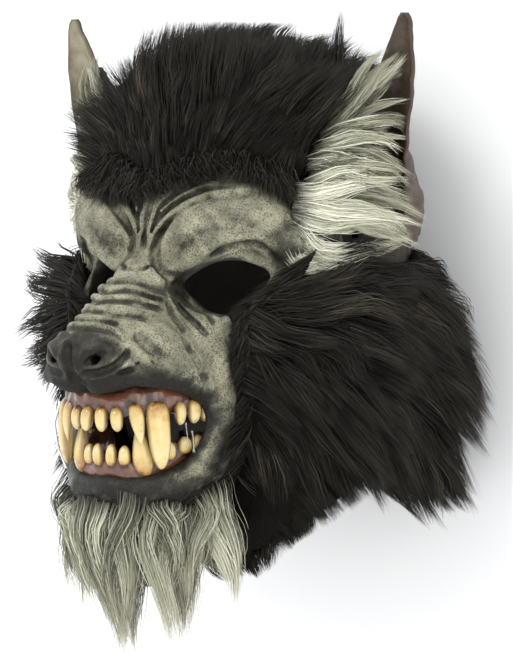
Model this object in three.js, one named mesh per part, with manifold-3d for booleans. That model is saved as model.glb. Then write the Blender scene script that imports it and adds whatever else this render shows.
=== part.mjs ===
// Snarling wolf costume mask for the whole head: a hollow latex casting with latex ears, two glued-in
// dentures and panels of faux fur. It lies on its back. Millimetres; X is the wearer's left, Y runs
// to the crown and Z is the way the face looks, which is up. The origin is on the flat of the back,
// under the middle of the eyes.

import * as THREE from "three";
import { mergeVertices } from "three/addons/utils/BufferGeometryUtils.js";
import Module from "manifold-3d";

const wasm = await Module();
wasm.setup();

// Driving dimensions
const WALL = 3; // latex
const SEAM = 0.4; // gap between neighbouring pieces
const CENTRE = new THREE.Vector3(0, -38, 140); // the latex is measured out from this point in the muzzle
const SNOUT_CENTRE = new THREE.Vector3(0, -62, 188);
const MOUTH_HALF_WIDTH = 36;
const UPPER_ARCH = { halfWidth: 33, depth: 43, z: 185 };
const LOWER_ARCH = { halfWidth: 30, depth: 37, z: 180 };
const EAR_WALL = 3;
const DEGREE = Math.PI / 180;

// Small helpers
const mix = THREE.MathUtils.lerp;
const vector = (at) => new THREE.Vector3(...at);

// Eased step from 0 at one value to 1 at another, rising or falling
function smooth(from, to, x) {
  const t = THREE.MathUtils.clamp((x - from) / (to - from), 0, 1);
  return t * t * (3 - 2 * t);
}

// A fixed scatter between 0 and 1
const hash = (n) => {
  const s = Math.sin(n * 12.9898 + 4.1) * 43758.5453;
  return s - Math.floor(s);
};

// Distance forms. Each takes a point and gives about how far outside the form it lies.
function blend(a, b, softness) {
  const h = Math.max(softness - Math.abs(a - b), 0) / softness;
  return Math.min(a, b) - (h * h * softness) / 4;
}

function ellipsoid(p, at, radii) {
  const x = (p.x - at[0]) / radii[0];
  const y = (p.y - at[1]) / radii[1];
  const z = (p.z - at[2]) / radii[2];
  const near = Math.hypot(x, y, z);
  const slope = Math.hypot(x / radii[0], y / radii[1], z / radii[2]);
  return (near * (near - 1)) / Math.max(slope, 1e-6);
}

// A round bar through points, each [x, y, z, radius]
function bar(p, stops) {
  let least = Infinity;
  for (let i = 0; i + 1 < stops.length; i++) {
    const [a, b] = [stops[i], stops[i + 1]];
    const ab = [b[0] - a[0], b[1] - a[1], b[2] - a[2]];
    const ap = [p.x - a[0], p.y - a[1], p.z - a[2]];
    const along = (ap[0] * ab[0] + ap[1] * ab[1] + ap[2] * ab[2]) / (ab[0] ** 2 + ab[1] ** 2 + ab[2] ** 2);
    const t = THREE.MathUtils.clamp(along, 0, 1);
    const gap = Math.hypot(ap[0] - t * ab[0], ap[1] - t * ab[1], ap[2] - t * ab[2]);
    least = Math.min(least, gap - mix(a[3], b[3], t));
  }
  return least;
}

// The head's big masses, alike on both sides, so points are taken with x as its size
const SKULL = { at: [0, 10, 92], radii: [73, 95, 86] };
const JAW = { at: [0, -60, 108], radii: [60, 56, 58] };
const CHEEKBONE = { at: [42, -26, 146], radii: [24, 30, 26] };
const NECK = [[0, -60, 84, 62], [0, -190, 84, 62]];
const MUZZLE = { at: [0, -38, 190], radii: [36, 23, 40] };
const CHIN = { at: [0, -98, 184], radii: [34, 17, 34] };
const MOUTH_WALL = { at: [0, -71, 180], radii: [37, 32, 34] };
const BRIDGE = [[0, 2, 172, 15], [0, -16, 202, 17], [0, -30, 226, 15]];
const BROW = [[16, 3, 175, 10], [24, 22, 170, 17], [42, 30, 158, 17], [55, 19, 146, 13]];
const FROWN = [[0, 8, 173, 13], [0, 26, 171, 13], [0, 42, 164, 12]];
const NOSE = { at: [0, -33, 232], radii: [20, 12, 15] };
const NOSE_WING = [[10, -37, 230, 9], [16, -34, 222, 8]];
const UPPER_LIP = [[9, -46, 231, 9], [22, -43, 222, 10], [32, -43, 198, 10], [37, -53, 184, 8]];
const LOWER_LIP = [[0, -98, 213, 8], [18, -98, 208, 8], [31, -92, 194, 8], [37, -79, 184, 7]];
const MOUTH_FOLD = [[17, -8, 176, 6], [28, -25, 176, 7], [35, -41, 176, 7], [37, -66, 177, 7],
  [35, -86, 180, 7]];

function hoodForm(p) {
  const skull = blend(ellipsoid(p, SKULL.at, SKULL.radii), ellipsoid(p, JAW.at, JAW.radii), 24);
  const neck = blend(skull, bar(p, NECK), 20);
  return blend(neck, ellipsoid(p, CHEEKBONE.at, CHEEKBONE.radii), 16);
}

function muzzleForm(p) {
  const body = blend(ellipsoid(p, MUZZLE.at, MUZZLE.radii), ellipsoid(p, CHIN.at, CHIN.radii), 8);
  return blend(body, ellipsoid(p, MOUTH_WALL.at, MOUTH_WALL.radii), 8);
}

// A form of one half, read on both sides
const inHalf = (form, { x, y, z }) => form({ x: Math.abs(x), y, z });
const baseForm = (point) => inHalf((p) => blend(hoodForm(p), muzzleForm(p), 12), point);

const faceForm = (point) => inHalf((p) => {
  let d = blend(hoodForm(p), muzzleForm(p), 12);
  d = blend(d, bar(p, BRIDGE), 9);
  d = blend(d, bar(p, FROWN), 9);
  d = blend(d, bar(p, BROW), 7);
  d = blend(d, ellipsoid(p, NOSE.at, NOSE.radii), 5);
  d = blend(d, bar(p, NOSE_WING), 5);
  d = blend(d, bar(p, UPPER_LIP), 6);
  d = blend(d, bar(p, LOWER_LIP), 5);
  return blend(d, bar(p, MOUTH_FOLD), 10) - folds(p);
}, point);

// The large creases of the snarl: straight ripples across the bridge and between the brows, and rings
// round a point below each brow. Each limit is a pair, the value without creases and the one with them.
const BRIDGE_CREASES = { height: 1.1, pitch: 7.5, crest: -2, x: [17, 9], low: [-27, -20], high: [6, 0],
  z: [170, 180] };
const FROWN_CREASES = { height: 0.8, pitch: 8, crest: 0, x: [15, 9], low: [4, 11], high: [48, 38],
  z: [150, 165] };
const BROW_CREASES = { height: 1.3, pitch: 14, crest: 19, x: [15, 21], low: [8, 14], high: [90, 80],
  z: [130, 145] };
const BROW_RINGS = { x: 30, y: -6 };

function creases({ height, pitch, crest, x, low, high, z }, p, across) {
  const present = smooth(...x, p.x) * smooth(...low, p.y) * smooth(...high, p.y) * smooth(...z, p.z);
  return height * present * Math.cos(((across - crest) / pitch) * 2 * Math.PI);
}

function folds(p) {
  const fromRings = Math.hypot(p.x - BROW_RINGS.x, p.y - BROW_RINGS.y);
  return creases(BRIDGE_CREASES, p, p.y) + creases(FROWN_CREASES, p, p.x) + creases(BROW_CREASES, p, fromRings);
}

// How far along a ray the outermost surface of a form lies, stepping inwards from far outside
const FAR = 260;
const NEAR = 15;
const CLOSE_ENOUGH = 0.02;
function reach(form, { origin, direction }) {
  const at = new THREE.Vector3();
  const depth = (r) => form(at.copy(direction).multiplyScalar(r).add(origin));
  let r = FAR;
  while (r > NEAR) {
    const gap = depth(r);
    if (gap < CLOSE_ENOUGH) break;
    r -= Math.max(gap * 0.8, 0.05);
  }
  return r;
}

// Solids from geometry
function solidFrom(geometry) {
  const bare = geometry.index ? geometry.toNonIndexed() : geometry.clone();
  for (const name of Object.keys(bare.attributes)) if (name !== "position") bare.deleteAttribute(name);
  const merged = mergeVertices(bare, 1e-3);
  const corners = merged.index.array;
  const kept = [];
  for (let i = 0; i < corners.length; i += 3) {
    const [a, b, c] = corners.slice(i, i + 3);
    if (a !== b && b !== c && c !== a) kept.push(a, b, c);
  }
  const points = merged.attributes.position.array;
  const at = (i) => new THREE.Vector3().fromArray(points, 3 * i);
  let volume = 0;
  for (let i = 0; i < kept.length; i += 3) volume += at(kept[i]).dot(at(kept[i + 1]).cross(at(kept[i + 2])));
  const triVerts = new Uint32Array(volume < 0 ? kept.reverse() : kept);
  return new wasm.Manifold(new wasm.Mesh({ numProp: 3, vertProperties: points, triVerts }));
}

function geometryFrom(solid) {
  const mesh = solid.getMesh();
  const points = new Float32Array(mesh.numVert * 3);
  for (let i = 0; i < mesh.numVert; i++) {
    points.set(mesh.vertProperties.subarray(i * mesh.numProp, i * mesh.numProp + 3), i * 3);
  }
  const geometry = new THREE.BufferGeometry();
  geometry.setAttribute("position", new THREE.BufferAttribute(points, 3));
  geometry.setIndex(new THREE.BufferAttribute(mesh.triVerts, 1));
  return geometry;
}

function joined(solids) {
  return solids.reduce((all, one) => all.add(one));
}

// The main body of a solid, without the crumbs that a cut can leave
function largest(solid) {
  return solid.decompose().reduce((a, b) => (b.volume() > a.volume() ? b : a));
}

function mirrored(solid) {
  return solidFrom(geometryFrom(solid).applyMatrix4(new THREE.Matrix4().makeScale(-1, 1, 1)));
}

// A closed body round a centre: a sphere whose corners crowd together over the face
const CROWDING = { around: 0.66, down: 0.3 };
function roundBody(form, columns, rows, centre = CENTRE) {
  const geometry = new THREE.SphereGeometry(1, columns, rows);
  geometry.deleteAttribute("normal");
  geometry.deleteAttribute("uv");
  const merged = mergeVertices(geometry, 1e-4);
  const at = merged.attributes.position;
  const direction = new THREE.Vector3();
  for (let i = 0; i < at.count; i++) {
    direction.fromBufferAttribute(at, i);
    const around = Math.atan2(direction.x, direction.z);
    const down = Math.acos(THREE.MathUtils.clamp(direction.y, -1, 1));
    const turned = around - CROWDING.around * Math.sin(around);
    const lowered = down + CROWDING.down * Math.sin(2 * down);
    direction.setFromSphericalCoords(1, lowered, turned);
    direction.multiplyScalar(reach(form, { origin: centre, direction })).add(centre);
    at.setXYZ(i, direction.x, direction.y, direction.z);
  }
  return solidFrom(merged);
}

// Closes two matching grids of points, the near face first, into one solid
function gridSolid(points, columns, rows) {
  const across = columns + 1;
  const count = across * (rows + 1);
  const corners = [];
  const quad = (a, b, c, d) => corners.push(a, b, c, a, c, d);
  for (let j = 0; j < rows; j++) {
    for (let i = 0; i < columns; i++) {
      const a = j * across + i;
      quad(a, a + 1, a + across + 1, a + across);
      quad(count + a, count + a + across, count + a + across + 1, count + a + 1);
    }
  }
  const edge = [];
  for (let i = 0; i < columns; i++) edge.push(i);
  for (let j = 0; j < rows; j++) edge.push(j * across + columns);
  for (let i = columns; i > 0; i--) edge.push(rows * across + i);
  for (let j = rows; j > 0; j--) edge.push(j * across);
  edge.forEach((a, n) => {
    const b = edge[(n + 1) % edge.length];
    quad(b, a, count + a, count + b);
  });
  const geometry = new THREE.BufferGeometry();
  geometry.setAttribute("position", new THREE.Float32BufferAttribute(points, 3));
  geometry.setIndex(corners);
  return solidFrom(geometry);
}

// A plate of fur: each (u, v) gives a ray, and the plate runs along it from the latex to its height
const FLEECE_GAP = 3.4;
function furPlate(columns, rows, rayAt, heightAt) {
  const points = [];
  for (const outer of [0, 1]) {
    for (let j = 0; j <= rows; j++) {
      for (let i = 0; i <= columns; i++) {
        const [u, v] = [i / columns, j / rows];
        const ray = rayAt(u, v);
        const r = outer ? reach(baseForm, ray) + heightAt(ray) : reach(faceForm, ray) + FLEECE_GAP;
        points.push(...ray.direction.clone().multiplyScalar(r).add(ray.origin).toArray());
      }
    }
  }
  return gridSolid(points, columns, rows);
}

// One pointed lock of fur: a cone laid along a curve and pressed flat, with its flat side to the head
const LOCK_SIDES = 4;
const LOCK_STEPS = 3;
function lock(root, middle, tip, halfWidth, halfThickness) {
  const curve = new THREE.QuadraticBezierCurve3(root, middle, tip);
  const geometry = new THREE.ConeGeometry(1, 1, LOCK_SIDES, LOCK_STEPS);
  const at = geometry.attributes.position;
  const outward = new THREE.Vector3(root.x, 0, root.z - AXIS_Z).normalize();
  for (let i = 0; i < at.count; i++) {
    const t = at.getY(i) + 0.5;
    const spread = Math.sqrt(Math.max(1 - t, 0)) * (0.75 + 0.5 * t);
    const shrink = 1 - t > 1e-6 ? spread / (1 - t) : 0;
    const along = curve.getTangent(t);
    const side = new THREE.Vector3().crossVectors(along, outward).normalize();
    const up = new THREE.Vector3().crossVectors(side, along);
    const p = curve.getPoint(t);
    p.addScaledVector(side, at.getX(i) * halfWidth * shrink);
    p.addScaledVector(up, at.getZ(i) * halfThickness * shrink);
    at.setXYZ(i, p.x, p.y, p.z);
  }
  return solidFrom(geometry);
}

// A bar of oval section along a smooth curve
function strip(points, halfHeight, halfThickness, sides, steps) {
  const section = new THREE.EllipseCurve(0, 0, halfHeight, halfThickness).getPoints(sides).slice(0, -1);
  const path = { steps, extrudePath: new THREE.CatmullRomCurve3(points), bevelEnabled: false };
  return solidFrom(new THREE.ExtrudeGeometry(new THREE.Shape(section), path));
}

// A straight prism along Z, on the smooth closed curve through the points of a front-view outline
function frontPrism(outline, low, high) {
  const curve = new THREE.CatmullRomCurve3(outline.map(([x, y]) => new THREE.Vector3(x, y, 0)), true);
  const corners = curve.getPoints(Math.round(outline.length * 1.6)).slice(0, -1);
  const shape = new THREE.Shape(corners.map((p) => new THREE.Vector2(p.x, p.y)));
  const geometry = new THREE.ExtrudeGeometry(shape, { depth: high - low, bevelEnabled: false });
  return solidFrom(geometry.translate(0, 0, low));
}

// Everything below the edge of the neck as [z, y], which climbs from the bib at the throat to the nape
const HEM = [[-20, -88], [60, -90], [105, -93], [119, -99], [143, -119], [150, -134], [156, -144], [250, -147]];
const FUR_BELOW_LATEX = 5;
function belowHem(drop) {
  const outline = [...HEM.map(([z, y]) => [z, y - drop]), [250, -400], [-20, -400]];
  const shape = new THREE.Shape(outline.map(([z, y]) => new THREE.Vector2(-z, y)));
  const geometry = new THREE.ExtrudeGeometry(shape, { depth: 400, bevelEnabled: false });
  return solidFrom(geometry.translate(0, 0, -200).rotateY(90 * DEGREE));
}

// Eye holes and mouth as seen from the front, cut straight back through the wall, and nostrils
const EYE_CUT = { back: 120, front: 215 };
const MOUTH_CUT = { back: 130, front: 250 };
const EYE_HOLE = [[14.5, -2], [22, 4.5], [32, 9], [43, 8.5], [52, 2], [48, -9], [38, -15.5], [27, -15],
  [19, -9]];
const MOUTH_TOP = [[0, -52], [10, -51], [20, -48], [28, -48]];
const MOUTH_SIDE = [[34, -54], [MOUTH_HALF_WIDTH, -67], [34, -79]];
const MOUTH_FOOT = [[27, -87], [16, -91], [0, -90.5]];

function mouthOutline() {
  const half = [...MOUTH_TOP, ...MOUTH_SIDE, ...MOUTH_FOOT];
  const back = half.slice(1, -1).reverse().map(([x, y]) => [-x, y]);
  return [...half, ...back];
}

const NOSTRIL = { radius: 3, length: 22, at: [11.5, -37, 236], slant: 30, splay: 24 };

function nostril(side) {
  const { radius, length, at: [x, y, z], slant, splay } = NOSTRIL;
  const geometry = new THREE.CapsuleGeometry(radius, length, 2, 7).rotateX(90 * DEGREE).scale(1.25, 0.8, 1);
  geometry.rotateZ(side * slant * DEGREE).rotateY(side * splay * DEGREE);
  return solidFrom(geometry.translate(side * x, y, z));
}

const latexOutside = (grow) => roundBody((p) => faceForm(p) - grow, 26, 24);

function latexHead() {
  const inside = roundBody((p) => inHalf(hoodForm, p) + WALL, 16, 12);
  const snoutInside = roundBody((p) => inHalf(muzzleForm, p) + WALL, 10, 10, SNOUT_CENTRE);
  let head = latexOutside(0).subtract(inside.add(snoutInside)).subtract(belowHem(0));
  for (const side of [-1, 1]) {
    head = head.subtract(frontPrism(EYE_HOLE.map(([x, y]) => [side * x, y]), EYE_CUT.back, EYE_CUT.front));
    head = head.subtract(nostril(side));
  }
  return largest(head.subtract(frontPrism(mouthOutline(), MOUTH_CUT.back, MOUTH_CUT.front)));
}

// Dentures, each an arched gum with teeth that stand out of it
// Teeth from the front back: [degrees round the arch, width, depth, gum y, tip y]
const UPPER_TEETH = [
  [6.4, 6.3, 6, -56, -67.5], [19, 6.6, 6, -55.5, -67], [32, 7.4, 6, -53.5, -72], [48.5, 10.5, 7.5, -52, -86],
  [66.5, 5.8, 5.5, -53, -64], [78, 6.2, 5.5, -53, -64], [88, 5.6, 5, -54, -63],
];
const LOWER_TEETH = [
  [6.8, 5.4, 5.5, -84, -74], [19, 5.8, 5.5, -84, -75], [36, 9, 7, -87, -63],
  [56, 6, 5.5, -81, -73], [68, 6, 5.5, -78, -71], [80, 5.6, 5, -76, -69.5],
];

const LONG_TOOTH = 15; // fangs are longer than this
const GUM = { ends: 92, inset: 2.2, halfHeight: 5, halfThickness: 3.6, steps: 10 };

function archPoint({ halfWidth, depth, z }, degrees, inset = 0) {
  const a = degrees * DEGREE;
  return new THREE.Vector3((halfWidth - inset) * Math.sin(a), 0, z + (depth - inset) * Math.cos(a));
}

function tooth(arch, [degrees, width, depth, gumY, tipY]) {
  const long = Math.abs(tipY - gumY);
  const fang = long > LONG_TOOTH;
  const crown = fang ? [[0.5, 0.4 * long], [0.28, 0.85 * long]] : [[0.56, 0.6 * long]];
  const profile = [[0, -2], [0.46, -1.5], ...crown, [0, long]].map(([r, y]) => new THREE.Vector2(r, y));
  const geometry = new THREE.LatheGeometry(profile, fang ? 6 : 5);
  geometry.scale(width, Math.sign(tipY - gumY), depth).rotateY(degrees * DEGREE);
  const at = archPoint(arch, degrees);
  return solidFrom(geometry.translate(at.x, gumY, at.z));
}

function gum(arch, yAt) {
  const { ends, inset, halfHeight, halfThickness, steps } = GUM;
  const stops = [-1, -0.75, -0.5, -0.25, 0, 0.25, 0.5, 0.75, 1].map((part) => part * ends);
  const points = stops.map((a) => archPoint(arch, a, inset).setY(yAt(Math.abs(a))));
  return strip(points, halfHeight, halfThickness, 5, steps);
}

function denture(arch, teeth, yAt) {
  const pairs = teeth.flatMap((t) => [tooth(arch, t), tooth(arch, [-t[0], ...t.slice(1)])]);
  return joined([gum(arch, yAt), ...pairs]);
}

const upperDenture = () => denture(UPPER_ARCH, UPPER_TEETH, (a) => -52 + 1.5 * smooth(30, 60, a));
const lowerDenture = () => denture(LOWER_ARCH, LOWER_TEETH, (a) => -88 + 9 * smooth(20, 90, a));

// Ears, each a cup that opens forward, deep at its foot and shallow at its tip
// Rows up the ear: [height, inner rim x, outer rim x, rim z, depth of the cup]
const EAR_ROWS = [
  [17, 60, 87, 100, 32], [25, 60, 90.5, 102, 33], [36, 61, 93.5, 103, 33], [49, 59, 95.5, 106, 25],
  [64, 62, 98.5, 109, 13], [82, 73, 101.5, 110, 9], [103, 85, 103.3, 111, 6.5],
  [118, 91.9, 102.4, 111.5, 4], [126.5, 96.3, 99.6, 112, 1.5],
];
const EAR_COLUMNS = 7;

function earPoint(u, row) {
  const [y, inner, outer, z, depth] = row;
  const deep = smooth(70, 45, y);
  const half = (outer - inner) / 2;
  const across = mix(u, Math.sin((u * Math.PI) / 2), deep);
  const bowl = mix(1 - u * u, Math.cos((u * Math.PI) / 2), deep);
  return new THREE.Vector3((inner + outer) / 2 + half * across, y, z - depth * bowl);
}

// The cup's wall, made thicker by room where a neighbour is cut to fit it
function ear(room = 0) {
  const rows = EAR_ROWS.length - 1;
  const points = [];
  for (const face of [1, -1]) {
    EAR_ROWS.forEach((row, j) => {
      for (let i = 0; i <= EAR_COLUMNS; i++) {
        const u = ((i / EAR_COLUMNS) * 2 - 1) * (1 + 0.06 * room);
        const at = earPoint(u, row);
        const across = earPoint(u + 0.02, row).sub(earPoint(u - 0.02, row));
        const up = earPoint(u, EAR_ROWS[Math.min(j + 1, rows)]).sub(earPoint(u, EAR_ROWS[Math.max(j - 1, 0)]));
        const out = across.cross(up).normalize();
        at.addScaledVector(out, face * (EAR_WALL / 2 + room));
        if (j === 0) at.y -= room;
        if (j === rows) at.y += room;
        points.push(...at.toArray());
      }
    });
  }
  return gridSolid(points, EAR_COLUMNS, rows);
}

// Faux fur. Heights of its pile are measured along rays from the upright axis of the head.
const AXIS_Z = 92;
const PARTING_Y = 12; // the crown's fur ends and the cheeks' fur begins here
const BACK_SEAM = 150; // degrees round from the face

function crownRay(turn, tilt) {
  const direction = new THREE.Vector3().setFromSphericalCoords(1, tilt * DEGREE, turn * DEGREE);
  return { origin: new THREE.Vector3(0, PARTING_Y, AXIS_Z), direction, turn, tilt };
}

function cheekRay(turn, y) {
  const dip = mix(-7 * smooth(118, 100, turn), 14 * smooth(28, 70, turn), smooth(PARTING_Y, -120, y));
  const direction = new THREE.Vector3().setFromSphericalCoords(1, (90 + dip) * DEGREE, turn * DEGREE);
  return { origin: new THREE.Vector3(0, y, AXIS_Z), direction, turn };
}

// Straight-line reading of a list of [where, value]
function read(list, x) {
  const next = list.findIndex(([at]) => at >= x);
  if (next <= 0) return next < 0 ? list.at(-1)[1] : list[0][1];
  const [a, b] = [list[next - 1], list[next]];
  return mix(a[1], b[1], (x - a[0]) / (b[0] - a[0]));
}

// Edge of the crown's fur: how far down from the crown it comes, by degrees round from the face
const HAIRLINE = [[0, 73], [13, 66], [26, 63], [40, 65], [52, 70], [60, 60], [72, 46], [98, 46], [108, 58],
  [118, 78], [126, 89.2], [180, 89.2]];

const CROWN_PILE = { hairline: 2.5, back: 13, shoulder: 34, rise: 26 }; // the rise is in degrees

function crownHeight(ray) {
  const { turn, tilt } = ray;
  const around = Math.abs(turn);
  const shoulder = smooth(8, 36, tilt) * mix(0.45, 1, smooth(10, 50, around)) * smooth(100, 62, around);
  const full = mix(CROWN_PILE.back, CROWN_PILE.shoulder, shoulder);
  const hairline = read(HAIRLINE, around);
  const edge = reach(faceForm, ray) - reach(baseForm, ray) + CROWN_PILE.hairline;
  return mix(edge, Math.max(full, edge), Math.sqrt(smooth(hairline, hairline - CROWN_PILE.rise, tilt)));
}

function crownFur() {
  const rayAt = (u, v) => {
    const [x, y] = [2 * u - 1, 1 - 2 * v];
    const across = x * Math.sqrt(1 - (y * y) / 2);
    const along = -y * Math.sqrt(1 - (x * x) / 2);
    const turn = Math.atan2(across, along) / DEGREE;
    return crownRay(turn, Math.min(Math.hypot(across, along), 1) * read(HAIRLINE, Math.abs(turn)));
  };
  return furPlate(8, 9, rayAt, crownHeight);
}

// Fur of the cheeks, the ruff: [y, degrees round] of its edge on the face, and its radius from the axis
// as [y, radius], at the front and at the back
const FUR_FOOT = -165;
const PILE = { edge: 5, back: 13, nape: 26 };
const CHEEK_EDGE = [[-121, 0.25], [-112, 14], [-100, 21], [-86, 26], [-60, 27], [-40, 26], [-24, 24], [-19, 28],
  [-15, 36], [-10, 44], [-4, 49], [4, 54], [12, 62]];
const RUFF_FRONT = [[-160, 70], [-145, 74], [-110, 86], [-92, 92], [-50, 97], [-13, 102], [12, 97]];
const RUFF_BACK = [[-160, 66], [-117, 74], [-100, 84], [-79, 95], [-50, 101], [-20, 99], [-5, 93], [12, 84]];

function cheekHeight(ray) {
  const { turn, origin } = ray;
  const radius = mix(read(RUFF_FRONT, origin.y), read(RUFF_BACK, origin.y), smooth(55, 124, turn));
  const wall = reach(baseForm, ray);
  const full = mix(radius - wall, PILE.back, smooth(118, BACK_SEAM, turn));
  const edge = reach(faceForm, ray) - wall + PILE.edge;
  return mix(edge, Math.max(full, edge), smooth(0, 30, turn - read(CHEEK_EDGE, origin.y)));
}

function cheekFur() {
  const rayAt = (u, v) => {
    const y = mix(PARTING_Y - SEAM, FUR_FOOT, v);
    return cheekRay(mix(read(CHEEK_EDGE, y), BACK_SEAM, u), y);
  };
  return furPlate(7, 8, rayAt, cheekHeight);
}

function backFur() {
  const first = BACK_SEAM + 0.4;
  const rayAt = (u, v) => cheekRay(mix(first, 360 - first, u), mix(PARTING_Y - SEAM, FUR_FOOT, v));
  return furPlate(5, 6, rayAt, ({ origin }) => mix(PILE.back, PILE.nape, smooth(0, -60, origin.y)));
}

// Locks that shape the pile. Each lies along it from one ray to another and its tip stands clear of it.
function pileLock(from, to, heightAt, halfWidth, lift) {
  const at = (ray, above) => {
    const r = reach(baseForm, ray) + heightAt(ray) + above;
    return ray.direction.clone().multiplyScalar(r).add(ray.origin);
  };
  const halfThickness = Math.min(0.6 * halfWidth, 0.4 * heightAt(from));
  const [root, tip] = [at(from, -halfThickness), at(to, lift)];
  const middle = root.clone().lerp(tip, 0.5).add(from.direction.clone().multiplyScalar(0.45 * halfWidth));
  return lock(root, middle, tip, halfWidth, halfThickness);
}

const LOCK_HALF_WIDTH = 14;
const LOCK_LIFT = 7;

// Rings of locks round the crown: [tilt, first turn, last turn, how many]
const CROWN_RINGS = [[54, -50, 50, 4], [40, -76, 76, 5], [22, -84, 84, 4]];

function crownLocks() {
  const locks = [];
  CROWN_RINGS.forEach(([tilt, first, last, count], ring) => {
    for (let k = 0; k < count; k++) {
      const seed = ring * 10 + k;
      const turn = mix(first, last, (k + 0.5 * (hash(seed) - 0.5)) / (count - 1));
      const from = crownRay(turn, tilt);
      const to = crownRay(turn + 8 * (hash(seed + 3) - 0.5), tilt - 19 - 6 * hash(seed + 7));
      locks.push(pileLock(from, to, crownHeight, LOCK_HALF_WIDTH, LOCK_LIFT));
    }
  });
  return locks;
}

// Locks down the ruff: [root turn, root height, tip turn, tip height, tip above the pile]
const RUFF_LOCKS = [
  [104, 2, 126, -18, 12], [108, -22, 129, -42, 12], [110, -40, 130, -58, 14], [108, -58, 128, -78, 13],
  [104, -62, 122, -88, 14], [78, -76, 86, -104, 8], [78, -8, 98, -20, 6], [80, -44, 100, -60, 6],
  [52, -24, 70, -34, 6], [50, -58, 68, -72, 6], [46, -78, 60, -92, 5],
];

const ruffLocks = () => RUFF_LOCKS.map(([turn, y, tipTurn, tipY, lift]) =>
  pileLock(cheekRay(turn, y), cheekRay(tipTurn, tipY), cheekHeight, LOCK_HALF_WIDTH, lift));

// Grey tufts between the temple and the ear, each from a root on the temple to a tip on the ear's rim
const TUFTS = [
  { root: [60, 20, 140], tip: [91, 21, 97] }, { root: [61, 31, 139], tip: [96, 29, 98] },
  { root: [62, 44, 136], tip: [99, 42, 105] }, { root: [63, 57, 132], tip: [99, 59, 108] },
  { root: [63, 70, 127], tip: [101, 79, 110] }, { root: [67, 82, 121], tip: [99, 104, 114] },
];

const TUFT = { halfWidth: 13, halfThickness: 9, belly: 7, fleece: 7 };

function earFur() {
  const tufts = TUFTS.map(({ root, tip }, k) => {
    const [from, to] = [vector(root), vector(tip)];
    const middle = from.clone().lerp(to, 0.5).add(new THREE.Vector3(TUFT.belly, -4 + 5 * hash(k), TUFT.belly));
    return lock(from, middle, to, TUFT.halfWidth, TUFT.halfThickness);
  });
  const fleece = strip(TUFTS.map(({ root }) => vector(root)), TUFT.fleece, TUFT.fleece, 4, 6);
  return joined([fleece, ...tufts]);
}

// Beard: an outer and an inner row of locks, rooted round the chin
const BEARD_TIPS = [[-52, -146, 174], [-38, -153, 198], [-20, -163, 211], [-6, -169, 212], [8, -174, 211],
  [22, -168, 204], [37, -150, 196], [52, -156, 176]];
const BEARD_ROOTS = { halfWidth: 37, depth: 53, z: 167, y: -101, ends: 88 };
const BEARD_LOCK = { halfWidth: 11.5, halfThickness: 8 };
const BEARD_FLEECE = { inset: 0.88, drop: 5, halfHeight: 7, halfThickness: 6 };

function chinPoint(degrees, inset) {
  const { halfWidth, depth, z, y } = BEARD_ROOTS;
  const a = degrees * DEGREE;
  return new THREE.Vector3(halfWidth * inset * Math.sin(a), y, z + depth * inset * Math.cos(a));
}

function beardLock(tip, k, inner) {
  const inset = 1 - 0.24 * inner;
  const { ends } = BEARD_ROOTS;
  const root = chinPoint(mix(-ends, ends, (k - 0.5 * inner) / (BEARD_TIPS.length - 1)), inset);
  root.y -= 6 * inner;
  const to = vector(tip).multiply(new THREE.Vector3(inset, 1 - 0.05 * inner, 1));
  to.add(new THREE.Vector3(-4 * inner, 0, -9 * inner));
  const middle = root.clone().lerp(to, 0.5).add(new THREE.Vector3(3 - 6 * hash(k), 0, 5 - 4 * inner));
  return lock(root, middle, to, BEARD_LOCK.halfWidth, BEARD_LOCK.halfThickness);
}

function beardFur() {
  const outer = BEARD_TIPS.map((tip, k) => beardLock(tip, k, 0));
  const inner = BEARD_TIPS.slice(1).map((tip, k) => beardLock(tip, k + 1, 1));
  const { inset, drop, halfHeight, halfThickness } = BEARD_FLEECE;
  const across = [-1, -0.5, 0, 0.5, 1].map((part) => chinPoint(part * BEARD_ROOTS.ends, inset));
  const fleece = strip(across, halfHeight, halfThickness, 4, 8);
  return joined([solidFrom(geometryFrom(fleece).translate(0, -drop, 0)), ...outer, ...inner]);
}

const part = new THREE.Group();
const latex = new THREE.MeshStandardMaterial({ color: 0x94917a, roughness: 0.75, metalness: 0 });
const earLatex = new THREE.MeshStandardMaterial({ color: 0x6b5a4a, roughness: 0.75, metalness: 0 });
const ivory = new THREE.MeshStandardMaterial({ color: 0xe5d59c, roughness: 0.25, metalness: 0 });
const blackFur = new THREE.MeshStandardMaterial({ color: 0x27241f, roughness: 0.9, metalness: 0 });
const greyFur = new THREE.MeshStandardMaterial({ color: 0xb3b4a0, roughness: 0.9, metalness: 0 });

function put(name, solid, material, cuts) {
  const cut = cuts.reduce((left, cutter) => left.subtract(cutter), solid);
  const mesh = new THREE.Mesh(geometryFrom(largest(cut)), material);
  mesh.name = name;
  part.add(mesh);
}

// Both sides of a pair, from the left one
function putPair(name, solid, material, cuts) {
  put("left_" + name, solid, material, cuts);
  put("right_" + name, mirrored(solid), material, cuts);
}

// The place of an ear and its tufts, seen from the front, which black fur keeps clear of
const EAR_PLACE = [[59, 11], [57, 38], [60, 62], [59, 83], [66, 98], [86, 114], [95, 132], [112, 132],
  [112, 17]];
const EAR_PLACE_BACK = 55;
function earPlace(inset) {
  const shape = new THREE.Shape(EAR_PLACE.map(([x, y]) => new THREE.Vector2(x + inset, y + inset)));
  const geometry = new THREE.ExtrudeGeometry(shape, { depth: 2 * EAR_PLACE_BACK, bevelEnabled: false });
  return solidFrom(geometry.translate(0, 0, EAR_PLACE_BACK));
}

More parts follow.
